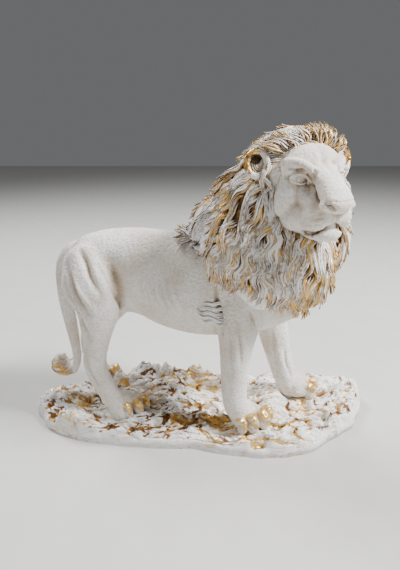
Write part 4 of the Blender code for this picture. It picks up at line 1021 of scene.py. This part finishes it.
def finish(tree, colour, roughness, metallic, bump, relief_mm):
    """The shader and output that every painted surface ends in."""
    normal = add_node(tree, "ShaderNodeBump", {"Strength": 1.0, "Distance": relief_mm / 1000, "Height": bump})
    inputs = {
        "Base Color": colour, "Roughness": roughness, "Metallic": metallic, "Normal": normal.outputs[0],
        "Specular IOR Level": 0.35,
    }
    shader = add_node(tree, "ShaderNodeBsdfPrincipled", inputs)
    add_node(tree, "ShaderNodeOutputMaterial", {0: shader.outputs[0]})


def white_acrylic_on_resin(fur_mm):
    """Matt acrylic over cast resin: chalky white, beige and dark brown painted shade in the hollows, a random
    beige mottle and speckle in the fur grain, and gold on the ears' rims.
    """
    paint = bpy.context.scene.lion_paint
    material, tree = new_material("white_acrylic_on_cast_resin")
    hollow = sums(tree, "ADD", mask(tree, "proud"), sums(tree, "MULTIPLY", grain(tree, 14), 0.3))
    # Beige painted shade in the hollows, which stand low in the proud mask.
    colour = over(tree, between(tree, hollow, -1.0, 0.1, 0.8, 0.0), paint.white[:], paint.beige_shade_and_mottle[:])
    # Umber painted shade in the deepest hollows.
    colour = over(tree, between(tree, hollow, -2.0, -0.75, 0.85, 0.0), colour, paint.umber_painted_shade[:])
    colour = over(tree, between(tree, grain(tree, 30), 0.4, 0.65, 0.0, 0.42), colour, paint.beige_shade_and_mottle[:])
    fur = grain(tree, 1.4, 3.0, 0.6, (0.7, 1, 0.8))
    # Beige on the low points of the fur grain: partly grain tone, partly painted shade in its pits.
    colour = over(tree, between(tree, fur, 0.55, 0.38, 0.0, 0.45), colour, paint.beige_shade_and_mottle[:])
    gilt = sums(tree, "ADD", mask(tree, "gilt"), sums(tree, "MULTIPLY", grain(tree, 2.4), 0.9))
    gilt = between(tree, gilt, 0.8, 1.0)
    gold = over(tree, between(tree, grain(tree, 4), 0.35, 0.65), paint.bronze[:], paint.gold[:])
    colour = over(tree, gilt, colour, gold)
    roughness = between(tree, gilt, 0, 1, 0.66, 0.34)
    metallic = sums(tree, "MULTIPLY", gilt, 0.85)
    finish(tree, colour, roughness, metallic, fur, fur_mm)
    return material


def gold_leaf():
    """Gold leaf laid on the claws: bright and hammered, bronze where a grain of wear thins it and towards the
    folds, with dark brown painted shade deepest in the folds.
    """
    paint = bpy.context.scene.lion_paint
    material, tree = new_material("gold_leaf_on_resin")
    # Low proud in the folds plus a grain of wear: the darkening in the folds is painted shade, the grain is
    # wear.
    wear_and_fold_shade = sums(tree, "ADD", mask(tree, "proud"), sums(tree, "SUBTRACT", grain(tree, 2.6, 3, 0.6), 0.5))
    colour = over(tree, between(tree, wear_and_fold_shade, 0.1, -0.16), paint.gold[:], paint.bronze[:])
    colour = over(tree, between(tree, wear_and_fold_shade, -0.15, -0.35), colour, paint.umber_painted_shade[:])
    colour = over(tree, between(tree, grain(tree, 5), 0.6, 0.66), colour, paint.white[:])
    shine = between(tree, wear_and_fold_shade, -0.3, 0.0, 0.0, 0.75)
    finish(tree, colour, 0.32, shine, grain(tree, 1.6), 0.3)
    return material


def gilded_mane_paint():
    """White dry-brushed over antique gold: pale strand tops with grey painted shade on their sides, golden
    brown between the strands and dark brown painted shade under them.
    """
    paint = bpy.context.scene.lion_paint
    material, tree = new_material("dry_brushed_white_over_antique_gold")
    drag = sums(tree, "MULTIPLY", sums(tree, "SUBTRACT", grain(tree, 2.5), 0.5), 1.4)
    patch = sums(tree, "MULTIPLY", sums(tree, "SUBTRACT", grain(tree, 14), 0.5), 1.6)
    height = sums(tree, "ADD", mask(tree, "proud"), drag)
    warm = sums(tree, "ADD", mask(tree, "gilt"), patch)
    gold = over(tree, between(tree, warm, -0.2, 0.6), paint.bronze[:], paint.gold[:])
    # Umber painted shade on the strands' undersides and on the low mane ground.
    under = over(tree, between(tree, height, -0.1, -0.8), gold, paint.umber_painted_shade[:])
    cover = sums(tree, "SUBTRACT", height, sums(tree, "MULTIPLY", warm, 0.8))
    white = between(tree, cover, 0.3, 0.58)
    # Grey painted shade on the strands' sides, white on their tops.
    pale = over(tree, between(tree, cover, 0.4, 0.85), paint.grey_side_shade[:], paint.white[:])
    colour = over(tree, white, under, pale)
    shine = sums(tree, "MULTIPLY", sums(tree, "SUBTRACT", 1.0, white), between(tree, height, -0.9, -0.3))
    roughness = between(tree, shine, 0, 1, 0.62, 0.34)
    finish(tree, colour, roughness, sums(tree, "MULTIPLY", shine, 0.6), grain(tree, 0.9, 2.0), 0.2)
    return material


def gilded_rock_paint():
    """White dragged over gold leaf on the rocks: white ridges, bright and dark gold in the cracks, and dark
    brown painted shade in the deepest grooves.
    """
    paint = bpy.context.scene.lion_paint
    material, tree = new_material("white_dragged_over_gold_leaf")
    drag = sums(tree, "SUBTRACT", grain(tree, 3.5, 4, 0.6, (0.3, 1, 1), 0.8), 0.5)
    patch = sums(tree, "SUBTRACT", grain(tree, 30, 2), 0.5)
    bare = sums(tree, "ADD", mask(tree, "groove"), sums(tree, "MULTIPLY", drag, 1.5))
    bare = sums(tree, "SUBTRACT", bare, sums(tree, "MULTIPLY", mask(tree, "proud"), 0.3))
    bare = sums(tree, "ADD", bare, sums(tree, "MULTIPLY", patch, 1.2))
    scratch = sums(tree, "SUBTRACT", grain(tree, 5, 1, 0.5, (0.16, 1, 1), 0.7), 0.5)
    scratch = sums(tree, "ABSOLUTE", scratch, 0.0)
    worked = between(tree, grain(tree, 30, 1), 0.47, 0.6, 0.008, 0.035)
    scratch = between(tree, sums(tree, "DIVIDE", scratch, worked), 1.0, 0.3, 0.0, 0.75)
    white = sums(tree, "MULTIPLY", between(tree, bare, 0.62, 0.46), sums(tree, "SUBTRACT", 1.0, scratch))
    bright = sums(tree, "ADD", grain(tree, 16, 3), sums(tree, "MULTIPLY", patch, 1.2))
    bright = between(tree, bright, 0.38, 0.6)
    gold = over(tree, bright, paint.bronze[:], paint.gold[:])
    # Umber painted shade in the deepest grooves of the rocks.
    under = over(tree, between(tree, bare, 1.02, 1.6), gold, paint.umber_painted_shade[:])
    colour = over(tree, white, under, paint.white[:])
    shine = sums(tree, "MULTIPLY", sums(tree, "SUBTRACT", 1.0, white), bright)
    roughness = between(tree, shine, 0, 1, 0.6, 0.3)
    bump = sums(tree, "SUBTRACT", drag, scratch)
    finish(tree, colour, roughness, sums(tree, "MULTIPLY", shine, 0.7), bump, 0.6)
    return material


def pale_studio_paper():
    """Seamless background paper: flat, matt, a little warm."""
    material, tree = new_material("pale_studio_paper")
    colour = over(tree, between(tree, grain(tree, 40), 0.3, 0.7), linear("C6C4C0"), linear("CAC8C4"))
    finish(tree, colour, 0.9, 0.0, grain(tree, 0.8), 0.02)
    return material


# Lines carved into the face, in the head's frame: each is a line, its width, its depth and its taper.
WHISKER_ROWS = [
    ([(37 - row, 9.5, level), (31, 12.5, level - 0.6), (24, 14.2, level - 1.8)], 0.5, 0.55, 0.5)
    for row, level in enumerate((-28.6, -31.4, -34.2, -37.0))
]
MOUTH_CORNER = [([(29, 8.8, -43.9), (24, 11.4, -45.6), (17, 13.4, -47.6)], 1.3, 4.2, 0.3)]
TEMPLE_WHORL = [
    ([(5, 23.3, -3.4), (5, 26.2, -1.8), (5, 29, -3.1), (5, 30.5, -6), (5, 30.8, -11),
      (5, 30.5, -16)], 0.6, 0.8, 0.3),
    ([(6, 22.6, -5.6), (6, 25.4, -4.3), (6, 27.6, -5.5), (6, 28.7, -8.6), (6, 28.7, -13.7)], 0.6, 0.7, 0.3),
    ([(7, 22.4, -8.4), (7, 24.6, -7.2), (7, 26.2, -9), (7, 26.6, -12.5)], 0.6, 0.6, 0.3),
]


def neighbour_mean(values, sides, count):
    """The mean of a value over each point's neighbours along the mesh's edges."""
    total = np.zeros_like(values)
    for k in range(values.shape[1]):
        total[:, k] = np.bincount(sides[:, 0], values[sides[:, 1], k], len(values))
        total[:, k] += np.bincount(sides[:, 1], values[sides[:, 0], k], len(values))
    return total / count[:, None]


def heights(shell, reach):
    """How far each point stands proud of the surface smoothed over the reach, in mm."""
    points, faces = shell
    sides = np.array([(a, b) for face in faces for a, b in zip((face[-1], *face), face) if a < b])
    count = np.maximum(np.bincount(sides.ravel(), minlength=len(points)), 1)
    span = np.linalg.norm(points[sides[:, 0]] - points[sides[:, 1]], axis=1).mean()
    smooth = points
    for _ in range(max(2, round((reach / span) ** 2))):
        smooth = 0.4 * smooth + 0.6 * neighbour_mean(smooth, sides, count)
    proud = ((points - smooth) * normals_of(shell)).sum(1, keepdims=True)
    return (0.5 * proud + 0.5 * neighbour_mean(proud, sides, count))[:, 0]


def near_any(points, centres, radius):
    """A mask of 1 near any of the centres, fading to 0 at the radius."""
    shade = np.zeros(len(points))
    for centre in centres:
        shade = np.maximum(shade, np.clip(1.8 - 1.8 * np.linalg.norm(points - centre, axis=1) / radius, 0, 1))
    return shade


def casting_piece(shell, name, material, masks):
    """A finished piece of the casting with its paint masks, its flat parts thinned first."""
    mesh = mesh_of(shell, name)
    for layer_name, values in masks.items():
        layer = mesh.attributes.new(layer_name, "FLOAT", "POINT")
        layer.data.foreach_set("value", np.asarray(values, np.float32))
    obj = bpy.data.objects.new(name, mesh)
    bpy.context.scene.collection.objects.link(obj)
    thin = obj.modifiers.new("thin", "DECIMATE")
    thin.ratio = min(1.0, MOST_TRIANGLES[name] / (2 * len(shell[1])))
    mesh = evaluated_mesh(obj)
    mesh.name = name
    mesh.transform(Matrix.Scale(UNIT, 4))
    mesh.shade_smooth()
    mesh.materials.clear()
    mesh.materials.append(material)
    obj = bpy.data.objects.new(name, mesh)
    bpy.context.scene.collection.objects.link(obj)
    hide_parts("lion_figurine")
    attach(obj, "root")
    return obj


@lru_cache(maxsize=1)
def flesh_shell():
    """The body, with its ribs, folds and sinews worked up more sharply."""
    ribs = [(line, 1.7, depth * 1.9, 0.5) for line, _, depth, _ in paired(RIBS)]
    folds = paired(FLANK_STROKES) + LEG_STROKES
    folds = [(line, width * 0.75, depth * 0.8, taper) for line, width, depth, taper in folds]
    return stroked(body(BODY_VOXEL), ribs + folds)


@lru_cache(maxsize=1)
def face_shell():
    """The head in its place, with whisker rows, a deep mouth corner and short fur combed downwards."""
    points, faces = shell = stroked(head(FACE_VOXEL), paired(WHISKER_ROWS + MOUTH_CORNER + TEMPLE_WHORL))
    lift = np.array([noise.noise(Vector((p[0], p[1], p[2] * 0.2)) / 1.2) for p in points])
    return moved((points + normals_of(shell) * (lift * 0.2)[:, None], faces), head_matrix())


def stippled(shell, size, depth):
    """The shell with a fine grain of fur pressed into it."""
    points, faces = shell
    normals = normals_of(shell)
    lift = [noise.noise(Vector(p / size)) + 0.5 * noise.noise(Vector(p * 2.1 / size)) for p in points]
    return points + normals * (np.array(lift) * depth)[:, None], faces


def gilded_zones(points):
    """How much more gold a place of the mane carries."""
    chest = near_any(points, [(104, -40, 150), (96, -20, 120), (112, 0, 170)], 34)
    bright = near_any(points, [(92, -8, 258), (-139, -2, 36)], 26)
    elbows = near_any(points, [(16, side * 33, 113) for side in (-1, 1)], 22)
    withers = near_any(points, [(0, side * 22, 177) for side in (-1, 1)], 26)
    return 0.15 + 0.25 * chest + 0.4 * bright - 0.9 * elbows - 0.7 * withers


def locks_with_masks(strands):
    """The strands as one shell, with how proud each side of a strand stands and how much gold it carries."""
    shell = joined(strands)
    side = np.concatenate([np.arange(len(points)) % STRAND_SIDES for points, _ in strands])
    rng = np.random.default_rng(2)
    fancy = np.concatenate([np.full(len(points), rng.uniform(-0.4, 0.4)) for points, _ in strands])
    return shell, -np.cos(2 * math.pi * side / STRAND_SIDES), gilded_zones(shell[0]) + fancy


class LION_OT_body(bpy.types.Operator):
    """Sculpts the lion's trunk, legs, paws, claws and tail"""

    bl_idname = "lion.body"
    bl_label = "Lion's body"

    def execute(self, context):
        depth = context.scene.lion_carving.fur_relief / UNIT
        shell = stippled(flesh_shell(), BODY_FUR_SIZE, depth)
        # Low values of proud carry the beige and dark brown painted shade of the body's hollows.
        masks = {"proud": heights(flesh_shell(), 7.0), "gilt": np.zeros(len(shell[0]))}
        casting_piece(moved(shell, stance()), "lion_body", white_acrylic_on_resin(BODY_FUR_MM), masks)
        nails = stippled(joined([sunk(fused([claw], CLAW_VOXEL), -0.3) for claw in claws()]), 3.2, 0.85)
        masks = {"proud": heights(nails, 2.0)}
        casting_piece(moved(nails, stance()), "claws", gold_leaf(), masks)
        return {"FINISHED"}


class LION_OT_head(bpy.types.Operator):
    """Sculpts the head with its face and ears"""

    bl_idname = "lion.head"
    bl_label = "Lion's head"

    def execute(self, context):
        shell = stippled(face_shell(), FACE_FUR_SIZE, context.scene.lion_carving.fur_relief / UNIT * 0.5)
        rims = []
        for side, out, half_width, half_height in EARS:
            for angle in np.radians(np.arange(0, 360, 20)):
                spot = (-4.5, side * (out + half_width * math.cos(angle)), half_height * math.sin(angle))
                rims.append(head_matrix() @ Vector(spot))
        proud = heights(face_shell(), 5.0)
        gilt = near_any(shell[0], np.array(rims), 4.5) * 0.62
        # Hollows of the face count 1.7 times deeper, for darker beige and dark brown painted shade there.
        masks = {"proud": np.minimum(proud * 1.7, proud), "gilt": gilt}
        casting_piece(moved(shell, stance()), "lion_head", white_acrylic_on_resin(FACE_FUR_MM), masks)
        return {"FINISHED"}


def ear_folds():
    """Curved folds of hair that line each ear's cup."""
    shells = []
    for side, out, half_width, half_height in EARS:
        turn = Matrix.Rotation(math.radians(side * 22), 4, "Z") @ Matrix.Rotation(math.radians(-10), 4, "Y")
        place = head_matrix() @ Matrix.Translation((-3.0, side * out, 0)) @ turn
        for share in (0.2, 0.36, 0.52, 0.68, 0.84):
            rows = []
            for angle in np.radians(np.arange(50, 261, 15)):
                across = side * -half_width * share * math.cos(angle) - side * (0.9 - share) * 1.5
                deep = -3.7 + 3.1 * math.sqrt(1 - share**2)
                spot = place @ Vector((deep, across, half_height * share * math.sin(angle) - 1))
                rows.append((*spot, 0.9, 0.62))
            rows = np.array(rows)
            across = np.array(place.to_3x3() @ Vector((0, 0.3, 1)))
            shells.append(tube(rows[:, :3], rows[:, 3:], across, STRAND_SIDES))
    return shells


class LION_OT_mane(bpy.types.Operator):
    """Combs the mane over the head, neck and chest, with the forelock, sideburns, elbow and tail locks"""

    bl_idname = "lion.mane"
    bl_label = "Mane"

    def execute(self, context):
        carving = context.scene.lion_carving
        spacing, width = carving.lock_spacing / UNIT, carving.strand_width / UNIT
        core, flesh, face = mane_core(MANE_VOXEL), flesh_shell(), face_shell()
        strands = mane(core, flesh, face, spacing, 4, width)
        strands += mane(core, flesh, face, spacing * 1.6, 3, width, 0.7, 8)
        strands += hairline(core, face, spacing * 0.75, 3, width * 0.7, 1.0)
        strands += sideburns(core, face, 3, width * 0.6, 1.2) + forelock(carving.tufts, 0.75)
        strands += ear_folds() + small_locks(surface_of(flesh), ELBOW_LOCKS + TUFT_LOCKS, 3, width * 0.8, 1.1)
        paint = gilded_mane_paint()
        near, far = [], []
        for strand in strands:
            middle = strand[0].mean(0)
            (near if middle[1] < -14 - (middle[0] - 60) * 0.35 else far).append(strand)
        for name, group in (("mane_right", near), ("mane_left", far)):
            shell, proud, gilt = locks_with_masks(group)
            casting_piece(moved(shell, stance()), name, paint, {"proud": proud, "gilt": gilt})
        shell = sunk(core, 1.3)
        edge = np.interp(shell[0][:, 0], MANE_EDGE[:, 0], MANE_EDGE[:, 1])
        bare = np.clip((edge + 12 - shell[0][:, 2]) / 10, 0, 1)
        # The ground under the strands stands low, so it takes dark brown painted shade; towards and below the
        # mane's lower edge it turns white.
        masks = {"proud": bare * 1.4 - 0.4, "gilt": gilded_zones(shell[0])}
        casting_piece(moved(shell, stance()), "mane_ground", paint, masks)
        return {"FINISHED"}


def groove_at(x, y, z):
    """How deep a place lies in the wavy grooves dragged along the rocks, from 0 to 1."""
    warp = noise.noise(Vector((x * 0.018, y * 0.02, 3))) * 18
    warp += noise.noise(Vector((x * 0.05, y * 0.06, 8))) * 5
    across = y + z * 0.7 + warp
    worked = noise.noise(Vector((x * 0.02, y * 0.035, 6))) * 3 + 1.1
    broad = abs(noise.noise(Vector((x * 0.035, across * 0.1, 1))))
    fine = abs(noise.noise(Vector((x * 0.06, across * 0.26, 9))))
    fine = min(1, max(0, worked)) * math.exp(-((fine / 0.11) ** 2))
    foot = min(1, max(0, (z - np.interp(x, (-130, -95), (0.5, 7))) / 3))
    return max(math.exp(-((broad / 0.07) ** 2)), 0.85 * fine) * foot


class LION_OT_rocks(bpy.types.Operator):
    """Breaks the rocky base under the paws"""

    bl_idname = "lion.rocks"
    bl_label = "Rocky base"

    def execute(self, context):
        shell = rock_base(ROCK_SPACING)
        groove = np.array([groove_at(*p) for p in shell[0]])
        shell = shell[0] - normals_of(shell) * groove[:, None] * GROOVE_DEPTH, shell[1]
        masks = {"proud": heights(shell, 5.0), "groove": groove}
        casting_piece(shell, "rocky_base", gilded_rock_paint(), masks)
        return {"FINISHED"}


def area_light(name, place, target, size, watts, colour):
    light = bpy.data.lights.new(name, "AREA")
    light.shape = "SQUARE"
    light.size = size
    light.energy = watts
    light.color = colour
    obj = bpy.data.objects.new(name, light)
    obj.location = place
    obj.rotation_euler = (Vector(target) - Vector(place)).to_track_quat("-Z", "Y").to_euler()
    bpy.context.scene.collection.objects.link(obj)


class LION_OT_stage(bpy.types.Operator):
    """Lays the pale floor and sets the soft lights and the camera"""

    bl_idname = "lion.stage"
    bl_label = "Stage"

    def execute(self, context):
        scene = context.scene
        bm = bmesh.new()
        bmesh.ops.create_grid(bm, x_segments=2, y_segments=2, size=4)
        mesh = bpy.data.meshes.new("floor")
        bm.to_mesh(mesh)
        bm.free()
        mesh.materials.append(pale_studio_paper())
        floor = bpy.data.objects.new("floor", mesh)
        scene.collection.objects.link(floor)
        for row in LIGHTS:
            area_light(*row)
        world = bpy.data.worlds.new("studio")
        world.use_nodes = True
        world.node_tree.nodes["Background"].inputs[0].default_value = linear("EDEFF2")
        world.node_tree.nodes["Background"].inputs[1].default_value = DAYLIGHT
        scene.world = world
        camera = bpy.data.cameras.new("camera")
        camera.lens = LENS_MM
        camera.clip_start = 0.02
        obj = bpy.data.objects.new("camera", camera)
        obj.location = CAMERA_PLACE
        obj.rotation_euler = (CAMERA_PITCH, 0, 0)
        scene.collection.objects.link(obj)
        scene.camera = obj
        return {"FINISHED"}


OPERATORS = (LION_OT_body, LION_OT_head, LION_OT_mane, LION_OT_rocks, LION_OT_stage)


class LION_PT_panel(bpy.types.Panel):
    """The lion's sizes, paints and making"""

    bl_idname = "LION_PT_panel"
    bl_label = "Lion figurine"
    bl_space_type = "VIEW_3D"
    bl_region_type = "UI"
    bl_category = "Lion"

    def draw(self, context):
        for group in (context.scene.lion_carving, context.scene.lion_paint):
            for key in group.__annotations__:
                self.layout.prop(group, key)
        for operator in OPERATORS:
            self.layout.operator(operator.bl_idname)


CLASSES = (LionCarving, LionPaint, *OPERATORS, LION_PT_panel)


def register():
    for cls in CLASSES:
        bpy.utils.register_class(cls)
    bpy.types.Scene.lion_carving = bpy.props.PointerProperty(type=LionCarving)
    bpy.types.Scene.lion_paint = bpy.props.PointerProperty(type=LionPaint)


def unregister():
    del bpy.types.Scene.lion_carving
    del bpy.types.Scene.lion_paint
    for cls in reversed(CLASSES):
        bpy.utils.unregister_class(cls)


def main():
    register()
    bpy.ops.lion.body()
    bpy.ops.lion.head()
    bpy.ops.lion.mane()
    bpy.ops.lion.rocks()
    bpy.ops.lion.stage()


if __name__ == "__main__":
    main()
